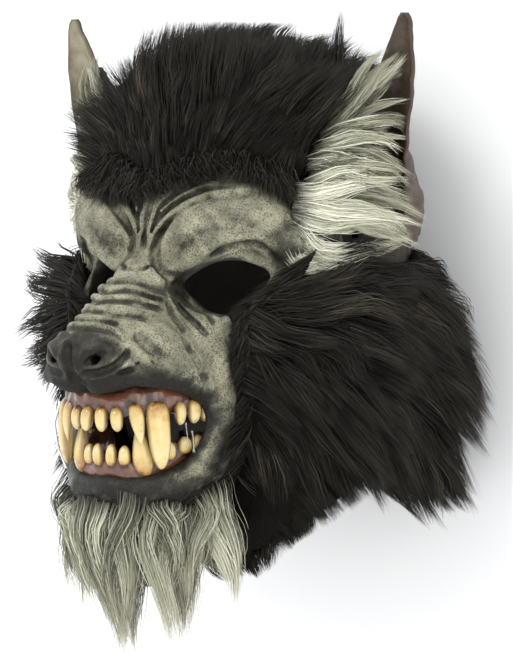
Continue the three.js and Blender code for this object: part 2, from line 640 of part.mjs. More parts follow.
// The place of the beard, seen from above as [x, z], below the lower lip
const BEARD_PLACE = [[-64, 166], [-40, 159], [0, 157], [40, 159], [64, 166], [64, 240], [-64, 240]];
const BEARD_TOP = -93;
function beardPlace(inset) {
  const shape = new THREE.Shape(BEARD_PLACE.map(([x, z]) => new THREE.Vector2(x, z + inset)));
  const geometry = new THREE.ExtrudeGeometry(shape, { depth: 110, bevelEnabled: false });
  return solidFrom(geometry.rotateX(90 * DEGREE).translate(0, BEARD_TOP - inset, 0));
}

const both = (solid) => solid.add(mirrored(solid));
const head = latexHead();
const coated = latexOutside(SEAM);
const beside = both(earPlace(0));
const table = solidFrom(new THREE.BoxGeometry(600, 600, 100).translate(0, 0, -50));
const hem = belowHem(FUR_BELOW_LATEX);
const ruff = joined([cheekFur().subtract(hem), ...ruffLocks()]);

put("latex_head", head, latex, []);
put("upper_denture", upperDenture(), ivory, [head]);
put("lower_denture", lowerDenture(), ivory, [head]);
putPair("ear", ear(), earLatex, [coated]);
put("crown_fur", joined([crownFur(), ...crownLocks()]), blackFur, [coated, beside, table]);
putPair("cheek_fur", ruff, blackFur, [coated, beside, beardPlace(0)]);
put("back_fur", backFur(), blackFur, [coated, table, hem]);
putPair("ear_fur", earFur().intersect(earPlace(SEAM)), greyFur, [coated, both(ear(2 * SEAM))]);
put("beard_fur", beardFur().intersect(beardPlace(SEAM)), greyFur, [coated]);

export default part;
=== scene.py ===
# Looks of the snarling wolf mask: creased latex face, glossy teeth, ears and long faux fur.
# Measures are in millimetres in the part's own frame and turn into metres as each mesh is made.
# X is the wearer's left, Y runs to the crown and Z is the way the face looks, up as the mask lies.

import math

import bpy
import numpy as np
import openvdb
from mathutils import Matrix, Vector


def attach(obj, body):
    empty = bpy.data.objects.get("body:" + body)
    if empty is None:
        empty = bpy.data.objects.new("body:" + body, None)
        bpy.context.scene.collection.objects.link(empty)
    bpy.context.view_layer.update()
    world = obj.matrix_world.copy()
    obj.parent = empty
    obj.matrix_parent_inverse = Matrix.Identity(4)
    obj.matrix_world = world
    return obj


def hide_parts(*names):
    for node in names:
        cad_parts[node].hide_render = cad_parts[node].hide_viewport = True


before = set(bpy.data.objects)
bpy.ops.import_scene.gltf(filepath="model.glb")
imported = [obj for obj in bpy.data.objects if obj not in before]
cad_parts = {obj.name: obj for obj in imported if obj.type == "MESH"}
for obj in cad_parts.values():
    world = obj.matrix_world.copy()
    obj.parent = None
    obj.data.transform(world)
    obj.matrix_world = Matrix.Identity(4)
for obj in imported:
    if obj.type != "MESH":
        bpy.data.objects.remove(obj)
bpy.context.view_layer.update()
MM = 0.001
FUR_SHARE = 1.0
FACE_VOXEL = 0.9
GUM_VOXEL = 0.9
HOOD_VOXEL = 3.4
random = np.random.default_rng(34)


# Camera, light and floor
IMAGE_HEIGHT = 655
FOCAL_PIXELS = 3780
SENSOR_HEIGHT = 36
CAMERA_DISTANCE = 1.8
CAMERA_YAW = math.radians(34.5)
CAMERA_LIFT = math.radians(3)
IMAGE_CENTRE_OFFSET = (0.0543, -0.0226)  # metres right of and above the middle of the eyes' plane
EYE_PLANE = Vector((0, 0, 0.188))


def add(name, data):
    """A new object in the scene."""
    obj = bpy.data.objects.new(name, data)
    bpy.context.scene.collection.objects.link(obj)
    return obj


def make_camera():
    yaw, lift = CAMERA_YAW, CAMERA_LIFT
    back = Vector((math.sin(yaw) * math.cos(lift), math.sin(lift), math.cos(yaw) * math.cos(lift)))
    right = Vector((math.cos(yaw), 0, -math.sin(yaw)))
    up = back.cross(right)
    data = bpy.data.cameras.new("camera")
    data.sensor_fit = "VERTICAL"
    data.sensor_height = SENSOR_HEIGHT
    data.lens = FOCAL_PIXELS * SENSOR_HEIGHT / IMAGE_HEIGHT
    data.clip_end = 10
    camera = add("camera", data)
    aim = EYE_PLANE + right * IMAGE_CENTRE_OFFSET[0] + up * IMAGE_CENTRE_OFFSET[1]
    camera.matrix_world = Matrix((right, up, back)).transposed().to_4x4()
    camera.matrix_world.translation = aim + back * CAMERA_DISTANCE
    bpy.context.scene.camera = camera


# Each lamp: where it stands, its size in metres and its power in watts
LAMPS = {
    "key": ((-0.3, 1.5, 1.9), 1.0, 16),
    "fill": ((2.0, 0.3, 1.4), 1.6, 9),
    "low": ((0.8, -1.8, 1.3), 1.4, 3),
}
LAMP_TARGET = Vector((0, -0.02, 0.12))
SKY_COLOUR = (0.98, 0.99, 1.0, 1)
SKY_STRENGTH = 1.18


def make_lights():
    bpy.context.scene.view_settings.view_transform = "Standard"
    for name, (place, size, power) in LAMPS.items():
        data = bpy.data.lights.new(name, "AREA")
        data.shape = "DISK"
        data.size = size
        data.energy = power
        lamp = add(name, data)
        lamp.location = place
        lamp.rotation_euler = (LAMP_TARGET - Vector(place)).to_track_quat("-Z", "Y").to_euler()
    world = bpy.data.worlds.new("studio")
    bpy.context.scene.world = world
    world.use_nodes = True
    sky = world.node_tree.nodes["Background"]
    sky.inputs["Color"].default_value = SKY_COLOUR
    sky.inputs["Strength"].default_value = SKY_STRENGTH


# Small helpers
def smooth(low, high, x):
    """Eased step from 0 at low to 1 at high, rising or falling."""
    t = np.clip((x - low) / (high - low), 0, 1)
    return t * t * (3 - 2 * t)


def mix(a, b, t):
    return a + (b - a) * t


def unit(v):
    return v / np.maximum(np.linalg.norm(v, axis=-1, keepdims=True), 1e-9)


def srgb(red, green, blue):
    """Linear colour from the 0 to 255 numbers of a picture."""
    c = np.array([red, green, blue]) / 255
    linear = np.where(c <= 0.04045, c / 12.92, ((c + 0.055) / 1.055) ** 2.4)
    return (*linear.tolist(), 1)


# Distance forms. Each takes points as rows and gives about how far outside the form they lie.
def blend(a, b, softness):
    h = np.maximum(softness - np.abs(a - b), 0) / softness
    return np.minimum(a, b) - h * h * softness / 4


def ellipsoid(p, at, radii):
    q = (p - np.float32(at)) / np.float32(radii)
    near = np.sqrt((q * q).sum(-1))
    slope = np.sqrt(((q / np.float32(radii)) ** 2).sum(-1))
    return near * (near - 1) / np.maximum(slope, 1e-6)


def bar(p, stops):
    """A round bar through stops, each (x, y, z, radius)."""
    least = None
    for (ax, ay, az, ra), (bx, by, bz, rb) in zip(stops, stops[1:]):
        a = np.float32((ax, ay, az))
        ab = np.float32((bx - ax, by - ay, bz - az))
        ap = p - a
        t = np.clip(ap @ ab / (ab @ ab), 0, 1)
        rest = ap - t[..., None] * ab
        d = np.sqrt((rest * rest).sum(-1)) - mix(ra, rb, t)
        least = d if least is None else np.minimum(least, d)
    return least


def folded(p):
    """Points of both sides laid onto the left one."""
    q = p.copy()
    q[..., 0] = np.abs(q[..., 0])
    return q


# The head's masses, as in the solids
SKULL = ((0, 10, 92), (73, 95, 86))
JAW = ((0, -60, 108), (60, 56, 58))
CHEEKBONE = ((42, -26, 146), (24, 30, 26))
NECK = [(0, -60, 84, 62), (0, -190, 84, 62)]
MUZZLE = ((0, -38, 190), (36, 23, 40))
CHIN = ((0, -98, 184), (34, 17, 34))
MOUTH_WALL = ((0, -71, 180), (37, 32, 34))
BRIDGE = [(0, 2, 172, 15), (0, -16, 202, 17), (0, -30, 226, 15)]
BROW = [(16, 3, 175, 10), (24, 22, 170, 17), (42, 30, 158, 17), (55, 19, 146, 13)]
FROWN = [(0, 8, 173, 13), (0, 26, 171, 13), (0, 42, 164, 12)]
NOSE = ((0, -33, 232), (20, 12, 15))
NOSE_WING = [(10, -37, 230, 9), (16, -34, 222, 8)]
UPPER_LIP = [(9, -46, 229.5, 8.5), (21.5, -43.5, 220.5, 9), (32, -43, 198, 10), (37, -53, 184, 8)]
LOWER_LIP = [(0, -98, 213, 8), (18, -98, 208, 8), (31, -92, 194, 8), (37, -79, 184, 7)]
MOUTH_FOLD = [(17, -8, 176, 6), (28, -25, 176, 7), (35, -41, 176, 7), (37, -66, 177, 7), (35, -86, 180, 7)]
WALL = 3


def hood_form(p):
    skull = blend(ellipsoid(p, *SKULL), ellipsoid(p, *JAW), 24)
    neck = blend(skull, bar(p, NECK), 20)
    return blend(neck, ellipsoid(p, *CHEEKBONE), 16)


def muzzle_form(p):
    body = blend(ellipsoid(p, *MUZZLE), ellipsoid(p, *CHIN), 8)
    return blend(body, ellipsoid(p, *MOUTH_WALL), 8)


def slope_of(form, p):
    """Directions straight out of a form."""
    here = form(p)
    steps = [form(p + np.float32(step)) - here for step in np.eye(3)]
    return unit(np.stack(steps, -1))


def base_form(p):
    p = folded(p)
    return blend(hood_form(p), muzzle_form(p), 12)


def face_form(p):
    p = folded(p)
    d = blend(hood_form(p), muzzle_form(p), 12)
    d = blend(d, bar(p, BRIDGE), 9)
    d = blend(d, bar(p, FROWN), 9)
    d = blend(d, bar(p, BROW), 7)
    d = blend(d, ellipsoid(p, *NOSE), 5)
    d = blend(d, bar(p, NOSE_WING), 5)
    d = blend(d, bar(p, UPPER_LIP), 6)
    d = blend(d, bar(p, LOWER_LIP), 5)
    return blend(d, bar(p, MOUTH_FOLD), 10)


# Creases of the snarl on the left half: (depth, half width, points). A negative depth is a raised roll.
CREASES = [
    # round the inner end of the swollen brow, over its top and out to the temple
    (3.4, 1.7, [(24, 4.5, 180), (17.5, 1.7, 185.8), (11.9, 4.1, 189.4), (7.8, 9, 188.5), (6.5, 14, 186.5),
                (7.4, 20.6, 184), (12, 25.6, 183), (18.9, 31.1, 182), (25.5, 35.4, 178), (32.5, 38.6, 174),
                (43.6, 40.7, 172), (53, 40, 161)]),
    (2.4, 1.4, [(3.4, 17, 186), (4.7, 26.1, 183), (8.7, 31.7, 180), (14.3, 37.3, 177), (24, 42, 170),
                (36, 45, 165)]),
    (2.0, 1.3, [(3.2, 27, 182), (5, 33.2, 180), (9.8, 39.5, 177), (14.1, 44.2, 171), (21, 48, 166),
                (30, 50, 160)]),
    (1.7, 4.2, [(17, 8, 186), (20.1, 13.8, 185), (27, 19.4, 184), (32.5, 23.3, 181), (39, 26, 175)]),
    (-1.3, 3.2, [(12, 14, 187), (15, 20, 186), (21, 27, 184), (30, 33, 178), (42, 36, 172)]),
    (1.9, 1.3, [(28, 8.5, 181), (33.5, 12, 180), (37.7, 15.8, 177), (42.5, 18.2, 172), (50, 18.6, 167),
                (55, 13, 160), (56, 6, 156)]),
    # frown lines between the brows
    (1.7, 1.0, [(0, 41, 178), (0.8, 28, 183), (0.8, 12, 188)]),
    (1.5, 1.0, [(7, 37, 178), (3.6, 26, 183), (2.6, 13, 188)]),
    # wrinkles across the bridge
    (1.7, 1.2, [(0, 5.5, 198), (5, 6, 196), (9, 7.5, 191)]),
    (2.4, 1.3, [(0, -0.5, 210), (5, -0.4, 208), (8.5, -1.3, 205), (13.3, -3.8, 200), (16.5, -5.0, 189)]),
    (2.4, 1.2, [(0, -5.8, 217), (5, -5.2, 214), (9.5, -5.2, 210), (14.5, -7.8, 203), (17.2, -9.6, 191)]),
    (2.2, 1.2, [(0, -10.4, 223), (6, -10.0, 219), (12, -10.6, 212), (16.5, -12.2, 203), (18.5, -14.5, 194)]),
    (1.7, 1.1, [(0, -14.4, 229), (5, -14.4, 227), (11, -15.4, 223), (16, -16.2, 215), (19.4, -17.6, 206)]),
    (1.3, 1.0, [(0, -18.2, 234), (5, -18.4, 232), (10, -19.2, 228), (14, -20, 223)]),
    # folds that run down from the inner corner of the eye
    (2.4, 1.2, [(16.8, -5.5, 187), (19.2, -11.2, 186), (23.2, -15.6, 185), (30, -22, 184), (36, -28, 183)]),
    (-1.7, 1.9, [(15.6, -3.5, 184), (20.4, -10.4, 184), (25.5, -15.2, 183), (33, -23, 182)]),
    (1.8, 1.2, [(15.8, -4.7, 179), (25.4, -14.6, 177), (35.8, -22.6, 178)]),
    (2.0, 1.2, [(16.6, -9.5, 191), (19.5, -15.5, 191), (24.5, -21.0, 192), (30.4, -26, 195)]),
    # the deep crease beside the muzzle and the roll behind it
    (3.4, 1.5, [(29, -25, 195), (33.8, -31, 200), (36.7, -35.7, 199), (40.9, -43.6, 198), (42.3, -52, 192)]),
    (-2.2, 4.5, [(33, -26, 188), (38.5, -33, 183), (42, -41, 181), (43.5, -55, 180), (42, -68, 180),
                 (41, -79, 182)]),
    # muzzle pad, its valleys and the small creases over the lip
    (-2.2, 4.5, [(20, -17, 202), (26, -24, 204), (30, -29, 205), (34, -36, 209)]),
    (2.4, 3.4, [(18, -23, 221), (23, -29, 217), (28, -33, 216), (34, -39, 214)]),
    (-1.8, 3.2, [(20, -30, 228), (25, -33, 225), (30, -36.5, 221)]),
    (1.1, 0.8, [(24, -38.0, 228), (27.5, -36, 224), (31, -36.4, 219), (34, -39.5, 214)]),
    (1.4, 1.0, [(19.5, -41.5, 236), (23, -40.5, 233), (27, -38.6, 229)]),
    (-1.4, 4.0, [(12, -47, 240), (20, -46, 234), (28, -45, 225), (34, -45, 212)]),
    (-1.6, 4.5, [(36, -46, 203), (39, -51, 196)]),
    # nose pad: the groove to the lip, its top edge, the wing round the nostril and the fold below it
    (3.4, 1.8, [(0, -29, 250), (0, -40, 248), (0, -54, 243)]),
    (1.5, 1.3, [(0, -21.5, 239), (8, -22, 236), (15, -24.5, 230), (20, -29.5, 226)]),
    (-1.5, 2.0, [(6.5, -35, 245), (8.5, -31.5, 244.5), (13, -28.8, 241.5), (17, -29.6, 238),
                 (19, -33, 235.5)]),
    (2.2, 1.3, [(21, -29, 226), (20.8, -34.5, 232), (15.5, -39.9, 239.5), (8.1, -41.9, 243),
                (2, -43.8, 245)]),
    # rolled rims of the eye hole
    (-1.6, 2.0, [(16, 0, 184), (23, 6, 184), (33, 10.5, 181), (43, 11, 173), (53, 4, 160)]),
    (-1.0, 1.8, [(17, -5, 180), (22, -13, 178), (30, -18, 177), (39, -19, 173)]),
]
NEAR_A_CREASE = 4.5  # half widths out from its line that a crease reaches


def draped(points):
    """A smooth line through the stops of a crease, laid onto the face."""
    stops = np.array(points, np.float32)
    stops = np.vstack([2 * stops[:1] - stops[1:2], stops, 2 * stops[-1:] - stops[-2:-1]])
    line = []
    for a, b, c, d in zip(stops, stops[1:], stops[2:], stops[3:]):
        for t in (0, 1 / 3, 2 / 3):
            bend = (2 * a - 5 * b + 4 * c - d) * t ** 2 + (3 * b - a - 3 * c + d) * t ** 3
            line.append((2 * b + (c - a) * t + bend) / 2)
    line = np.array([*line, stops[-2]], np.float32)
    for _ in range(6):
        line = folded(line - 0.8 * face_form(line)[:, None] * slope_of(face_form, line))
    return line.astype(np.float32)


CREASE_LINES = [(depth, half_width, draped(points)) for depth, half_width, points in CREASES]


def line_place(p, stops):
    """Distance from each point to a line of stops, and how far along it the nearest place lies, 0 to 1."""
    lengths = np.maximum(np.linalg.norm(np.diff(stops, axis=0), axis=1), 1e-3)
    before = np.append(0, np.cumsum(lengths))
    least, share = np.full(len(p), 1e9, np.float32), np.zeros(len(p), np.float32)
    for k, (a, b) in enumerate(zip(stops, stops[1:])):
        t = np.clip((p - a) @ (b - a) / lengths[k] ** 2, 0, 1)
        d = np.linalg.norm(p - a - t[:, None] * (b - a), axis=1)
        nearer = d < least
        least = np.where(nearer, d, least)
        share = np.where(nearer, (before[k] + t * lengths[k]) / before[-1], share)
    return least, share


def along_creases(p, effect):
    """Adds up what effect gives for each crease, from its depth, the half widths off and its presence."""
    q = folded(p).reshape(-1, 3)
    total = np.zeros(len(q), np.float32)
    for depth, half_width, line in CREASE_LINES:
        margin = NEAR_A_CREASE * half_width
        near = ((q > line.min(0) - margin) & (q < line.max(0) + margin)).all(1)
        if near.any():
            d, share = line_place(q[near], line)
            start = 1 if line[0, 0] < 0.5 else smooth(0, 0.16, share)
            total[near] += effect(depth, d / half_width, start * smooth(1, 0.72, share))
    return total.reshape(p.shape[:-1])


def crease_height(p):
    """How far the creases and rolls raise the surface."""
    def effect(depth, d, present):
        bank = 0.4 * np.exp(-((d - 2.3) ** 2) * 0.9) if depth > 0 else 0
        return depth * present * (bank - np.exp(-d * d))
    return along_creases(p, effect)


# Eye holes and mouth as seen from the front, and nostrils
EYE_HOLE = [(14.5, -2), (22, 4.5), (32, 9), (43, 8.5), (52, 2), (48, -9), (38, -15.5), (27, -15), (19, -9)]
MOUTH = [(0, -52), (10, -51), (20, -48), (28, -48), (34, -54), (36, -67), (34, -79), (27, -87), (16, -91),
         (0, -90.5)]
WHOLE_MOUTH = MOUTH + [(-x, y) for x, y in MOUTH[-2:0:-1]]
NOSTRIL = [(12.2, -35.2, 246, 1.9), (11.8, -35, 240, 2.2), (10, -34, 228, 1.8)]
NOSTRIL_SLIT = [(8.2, -37.4, 245, 1.2), (11.8, -35.2, 243.5, 2.3), (16.4, -31.6, 240.5, 1.2)]
EYE_BACK = 120  # how far back the eye holes and the mouth are cut
MOUTH_BACK = 130
RIM = 2.0  # softness of a cut's edge


def closed_curve(points, steps=8):
    """A smooth closed curve through the points."""
    p = np.array(points, float)
    before, after, beyond = np.roll(p, 1, 0), np.roll(p, -1, 0), np.roll(p, -2, 0)
    out = []
    for k in range(steps):
        t = k / steps
        out.append(0.5 * (2 * p + (after - before) * t + (2 * before - 5 * p + 4 * after - beyond) * t * t
                          + (3 * p - before - 3 * after + beyond) * t ** 3))
    return np.stack(out, 1).reshape(-1, p.shape[1])


def outline_distance(x, y, outline):
    """Signed distance to a closed outline in the front view, negative inside it."""
    points = closed_curve(outline)
    inside = np.zeros(x.shape, bool)
    least = np.full(x.shape, 1e9, np.float32)
    for (ax, ay), (bx, by) in zip(points, np.roll(points, -1, 0)):
        along = ((x - ax) * (bx - ax) + (y - ay) * (by - ay)) / ((bx - ax) ** 2 + (by - ay) ** 2)
        along = np.clip(along, 0, 1)
        least = np.minimum(least, np.hypot(x - ax - along * (bx - ax), y - ay - along * (by - ay)))
        if by != ay:
            inside ^= ((ay > y) != (by > y)) & (x < (bx - ax) * (y - ay) / (by - ay) + ax)
    return np.where(inside, -least, least)


# Everything below the edge of the neck: (z, y) along it
HEM = np.array([(-20, -88), (60, -90), (105, -93), (119, -99), (143, -119), (150, -134), (156, -144),
                (250, -147)])


def above_hem(p):
    """How far a point lies above the mask's lower edge."""
    return p[..., 1] - np.interp(p[..., 2], HEM[:, 0], HEM[:, 1])


def cut(d, hole, softness=RIM):
    """A form with a soft-edged hole in it."""
    return -blend(-d, hole, softness)


def creased_form(p):
    return face_form(p) - crease_height(p)


def head_form(p):
    """The latex casting, with its wall, holes and creases."""
    q = folded(p)
    inside = np.minimum(hood_form(q) + WALL, muzzle_form(q) + WALL)
    d = cut(creased_form(p), inside, 0.5)
    eye = np.maximum(outline_distance(q[..., 0], q[..., 1], EYE_HOLE), EYE_BACK - p[..., 2])
    gape = np.maximum(outline_distance(p[..., 0], p[..., 1], WHOLE_MOUTH), MOUTH_BACK - p[..., 2])
    d = cut(cut(d, eye), gape)
    d = cut(d, np.minimum(bar(q, NOSTRIL), bar(q, NOSTRIL_SLIT)), 1.0)
    return np.maximum(d, -above_hem(p))


def surface_of(form, low, high, voxel):
    """Points and quads of the surface where form is 0, inside a box. Only cells near it are worked out."""
    low, high = np.array(low, float), np.array(high, float)
    coarse = 4
    shape = (np.ceil((high - low) / (voxel * coarse)).astype(int) + 1) * coarse
    field = np.full(shape, 3.0 * voxel, np.float32)
    cells = np.indices(shape // coarse).reshape(3, -1).T
    centres = (low + (cells + 0.5) * coarse * voxel).astype(np.float32)
    rough = np.concatenate([form(part) for part in np.array_split(centres, max(1, len(centres) // 200000))])
    reach_of_cell = voxel * coarse * 1.4
    near = np.abs(rough) < reach_of_cell
    offsets = np.indices((coarse,) * 3).reshape(3, -1).T
    for group in np.array_split(cells[near], max(1, int(near.sum() * coarse ** 3 // 400000))):
        at = (group[:, None] * coarse + offsets[None]).reshape(-1, 3)
        value = form((low + at * voxel).astype(np.float32))
        field[at[:, 0], at[:, 1], at[:, 2]] = value
    deep = cells[rough <= -reach_of_cell]
    at = (deep[:, None] * coarse + offsets[None]).reshape(-1, 3)
    field[at[:, 0], at[:, 1], at[:, 2]] = -3.0 * voxel
    grid = openvdb.FloatGrid(3.0 * voxel)
    grid.copyFromArray(np.clip(field, -3 * voxel, 3 * voxel))
    points, quads = grid.convertToQuads(0.0)
    return points * voxel + low, quads[:, ::-1]


def make_mesh(name, points, faces):
    """A mesh object from points in millimetres and equal-sided faces."""
    mesh = bpy.data.meshes.new(name)
    points, faces = np.asarray(points, np.float32), np.asarray(faces, np.int32)
    sides = faces.shape[1]
    mesh.vertices.add(len(points))
    mesh.vertices.foreach_set("co", (points * MM).ravel())
    mesh.loops.add(faces.size)
    mesh.loops.foreach_set("vertex_index", faces.ravel())
    mesh.polygons.add(len(faces))
    mesh.polygons.foreach_set("loop_start", np.arange(0, faces.size, sides, dtype=np.int32))
    mesh.update(calc_edges=True)
    mesh.shade_smooth()
    return add(name, mesh)


def make_tube_mesh(name, points, faces):
    """A mesh object from points in millimetres and faces of three and four sides."""
    mesh = bpy.data.meshes.new(name)
    mesh.from_pydata((points * MM).tolist(), [], faces)
    mesh.shade_smooth()
    return add(name, mesh)


def tube_faces(rings, sides):
    """Four-sided faces between rings of points."""
    faces = []
    for k in range(rings - 1):
        for j in range(sides):
            a, b = k * sides + j, k * sides + (j + 1) % sides
            faces.append((a, b, b + sides, a + sides))
    return faces


def closed_tube_faces(rings, sides):
    """The faces of a tube and of its two ends, whose middle points come after the rings."""
    foot, top, last = rings * sides, rings * sides + 1, (rings - 1) * sides
    faces = tube_faces(rings, sides)
    faces += [(foot, (j + 1) % sides, j) for j in range(sides)]
    return faces + [(top, last + j, last + (j + 1) % sides) for j in range(sides)]


# How the coat lies: rays out of the head that carry the height of its pile, as in the solids
AXIS_Z = 92
PARTING_Y = 12
BACK_SEAM = 150
FUR_BELOW_LATEX = 5
HAIRLINE = np.array([(0, 73), (13, 66), (26, 63), (40, 65), (52, 70), (60, 60), (72, 46), (98, 46), (108, 58),
                     (118, 78), (126, 89.2), (180, 89.2)])
CROWN_PILE = {"hairline": 2.5, "back": 13, "shoulder": 34, "rise": 26}
PILE = {"edge": 5, "back": 13, "nape": 26}
CHEEK_EDGE = np.array([(-121, 0.25), (-112, 14), (-100, 21), (-86, 26), (-60, 27), (-40, 26), (-24, 24),
                       (-19, 28), (-15, 36), (-10, 44), (-4, 49), (4, 54), (12, 62)])
RUFF_FRONT = np.array([(-160, 70), (-145, 74), (-110, 86), (-92, 92), (-50, 97), (-13, 102), (12, 97)])
RUFF_BACK = np.array([(-160, 66), (-117, 74), (-100, 84), (-79, 95), (-50, 101), (-20, 99), (-5, 93),
                      (12, 84)])
EAR_PLACE = [(59, 11), (57, 38), (60, 62), (59, 83), (66, 98), (86, 114), (95, 132), (112, 132), (112, 17)]
EAR_PLACE_BACK = 55


def read(table, x):
    return np.interp(x, table[:, 0], table[:, 1])


def toward(tilt, turn):
    """Directions by degrees down from the crown and round from the face."""
    tilt, turn = np.radians(tilt), np.radians(turn)
    return np.stack([np.sin(tilt) * np.sin(turn), np.cos(tilt), np.sin(tilt) * np.cos(turn)], -1)


def reach(form, origin, direction):
    """How far along each ray the surface of a form lies."""
    r = np.full(origin.shape[:-1], 150.0)
    for _ in range(40):
        r -= 0.8 * form((origin + direction * r[..., None]).astype(np.float32))
    return r


def crown_ray(turn, tilt):
    origin = np.broadcast_to(np.array([0.0, PARTING_Y, AXIS_Z]), (*np.shape(turn), 3))
    return origin, toward(tilt, turn)


def cheek_dip(turn, y):
    return mix(-7 * smooth(118, 100, turn), 14 * smooth(28, 70, turn), smooth(PARTING_Y, -120, y))


def cheek_ray(turn, y):
    origin = np.stack([np.zeros_like(y), y, np.full_like(y, AXIS_Z)], -1)
    return origin, toward(90 + cheek_dip(turn, y), turn)


def crown_height(turn, tilt, wall, face):
    around = np.abs(turn)
    shoulder = smooth(8, 36, tilt) * mix(0.45, 1, smooth(10, 50, around)) * smooth(100, 62, around)
    full = mix(CROWN_PILE["back"], CROWN_PILE["shoulder"], shoulder)
    edge = face - wall + CROWN_PILE["hairline"]
    hairline = read(HAIRLINE, around)
    return mix(edge, np.maximum(full, edge), np.sqrt(smooth(hairline, hairline - CROWN_PILE["rise"], tilt)))


def cheek_height(turn, y, wall, face):
    radius = mix(read(RUFF_FRONT, y), read(RUFF_BACK, y), smooth(55, 124, turn))
    full = mix(radius - wall, PILE["back"], smooth(118, BACK_SEAM, turn))
    nape = mix(PILE["back"], PILE["nape"], smooth(0, -60, y))
    full = np.where(turn > BACK_SEAM, nape, full)
    edge = face - wall + PILE["edge"]
    return mix(edge, np.maximum(full, edge), smooth(0, 30, turn - read(CHEEK_EDGE, y)))


# The same heights as tables, read by the pelts and the hairs
TURNS = np.linspace(0, 180, 61)
TILTS = np.linspace(0, 96, 49)
HEIGHTS_Y = np.linspace(20, -200, 89)


def tabled(ray, second):
    turn, other = np.meshgrid(TURNS, second, indexing="ij")
    origin, direction = ray(turn, other)
    return turn, other, reach(base_form, origin, direction), reach(face_form, origin, direction)


def look_up(table, first, second, a, b):
    """Straight-line reading of a table over two evenly spaced scales."""
    i = np.clip((a - first[0]) / (first[1] - first[0]), 0, len(first) - 1.001)
    j = np.clip((b - second[0]) / (second[1] - second[0]), 0, len(second) - 1.001)
    i0, j0 = i.astype(int), j.astype(int)
    u, v = i - i0, j - j0
    low = mix(table[i0, j0], table[i0 + 1, j0], u)
    high = mix(table[i0, j0 + 1], table[i0 + 1, j0 + 1], u)
    return mix(low, high, v)


turn, tilt, wall, CROWN_FACE = tabled(crown_ray, TILTS)
CROWN_TOP = wall + crown_height(turn, tilt, wall, CROWN_FACE)
turn, height_y, wall, CHEEK_FACE = tabled(cheek_ray, HEIGHTS_Y)
CHEEK_TOP = wall + cheek_height(turn, height_y, wall, CHEEK_FACE)


def crown_place(p):
    """Degrees round and down, and distance out, of points over the crown."""
    x, y, z = np.abs(p[..., 0]), p[..., 1] - PARTING_Y, p[..., 2] - AXIS_Z
    r = np.maximum(np.sqrt(x * x + y * y + z * z), 1e-3)
    return np.degrees(np.arctan2(x, z)), np.degrees(np.arccos(np.clip(y / r, -1, 1))), r


def cheek_place(p):
    """Degrees round, the height where its ray starts and distance out, of points beside the axis."""
    x, z = np.abs(p[..., 0]), p[..., 2] - AXIS_Z
    turn, radius = np.degrees(np.arctan2(x, z)), np.hypot(x, z)
    start = p[..., 1]
    for _ in range(4):
        start = p[..., 1] + radius * np.tan(np.radians(cheek_dip(turn, start)))
    return turn, start, radius / np.cos(np.radians(cheek_dip(turn, start)))


def ear_gap(p):
    """Distance outside the place of an ear and its tufts."""
    place = outline_distance(np.abs(p[..., 0]), p[..., 1], EAR_PLACE)
    return np.maximum(place, EAR_PLACE_BACK - p[..., 2])


PELT_VOXEL = 3.2
PELT_SHARE = 0.6  # how much of the pile's height the dense under-fur fills
THIN_PELT = 2.8  # the least depth of under-fur from THIN_PELT_TURN degrees round
THIN_PELT_TURN = 72
PELT_ABOVE_FLOOR = 1.5
BEARD_TOP, BEARD_BACK = -93, 159  # below and in front of these the ruff makes room for the beard
SEAM_SLOPE = 1.6  # millimetres for a degree round the head, at the seams of the back


def too_thin(turn, depth):
    """Above zero where the under-fur beside and behind the ears is too thin to keep."""
    return np.where(turn > THIN_PELT_TURN, THIN_PELT - depth, -THIN_PELT)


def crown_pelt_form(p):
    turn, tilt, r = crown_place(p)
    face = look_up(CROWN_FACE, TURNS, TILTS, turn, tilt)
    top = look_up(CROWN_TOP, TURNS, TILTS, turn, tilt)
    hairline = read(HAIRLINE, turn)
    edge = (tilt - hairline + 1) * np.radians(1) * r
    outer = mix(face + 1, top, PELT_SHARE)
    outside = np.maximum(r - outer - 0.8 * wander(p, 14, 3), too_thin(turn, outer - face))
    d = np.maximum(np.maximum(outside, 0.6 - (r - face)), edge)
    d = np.maximum(d, PARTING_Y + 1 - p[..., 1])
    return np.maximum(np.maximum(d, -ear_gap(p)), PELT_ABOVE_FLOOR - p[..., 2])


def cheek_pelt_form(p):
    turn, start, r = cheek_place(p)
    face = look_up(CHEEK_FACE, TURNS, HEIGHTS_Y, turn, start)
    top = look_up(CHEEK_TOP, TURNS, HEIGHTS_Y, turn, start)
    edge = (read(CHEEK_EDGE, start) + 1 - turn) * np.radians(1) * r
    outer = mix(face + 1, top, PELT_SHARE)
    outside = np.maximum(r - outer - 0.8 * wander(p, 14, 4), too_thin(turn, outer - face))
    d = np.maximum(np.maximum(outside, 0.6 - (r - face)), edge)
    d = np.maximum(d, p[..., 1] - PARTING_Y)
    d = np.maximum(d, -(above_hem(p) + FUR_BELOW_LATEX - 2))
    d = np.maximum(d, -ear_gap(p))
    beard = np.minimum(BEARD_TOP - p[..., 1], p[..., 2] - BEARD_BACK)
    return np.maximum(np.maximum(d, beard), PELT_ABOVE_FLOOR - p[..., 2])


def side_pelt_form(p):
    turn = cheek_place(p)[0]
    return np.maximum(np.maximum(cheek_pelt_form(p), (turn - BACK_SEAM) * SEAM_SLOPE), 0.5 - p[..., 0])


def back_pelt_form(p):
    turn = cheek_place(p)[0]
    return np.maximum(cheek_pelt_form(p), (BACK_SEAM + 0.5 - turn) * SEAM_SLOPE)


# Hairs. A coat is a set of paths, each a row of points from root to tip, meshed as thin flat strips.
HAIR_ABOVE_FLOOR = 0.4


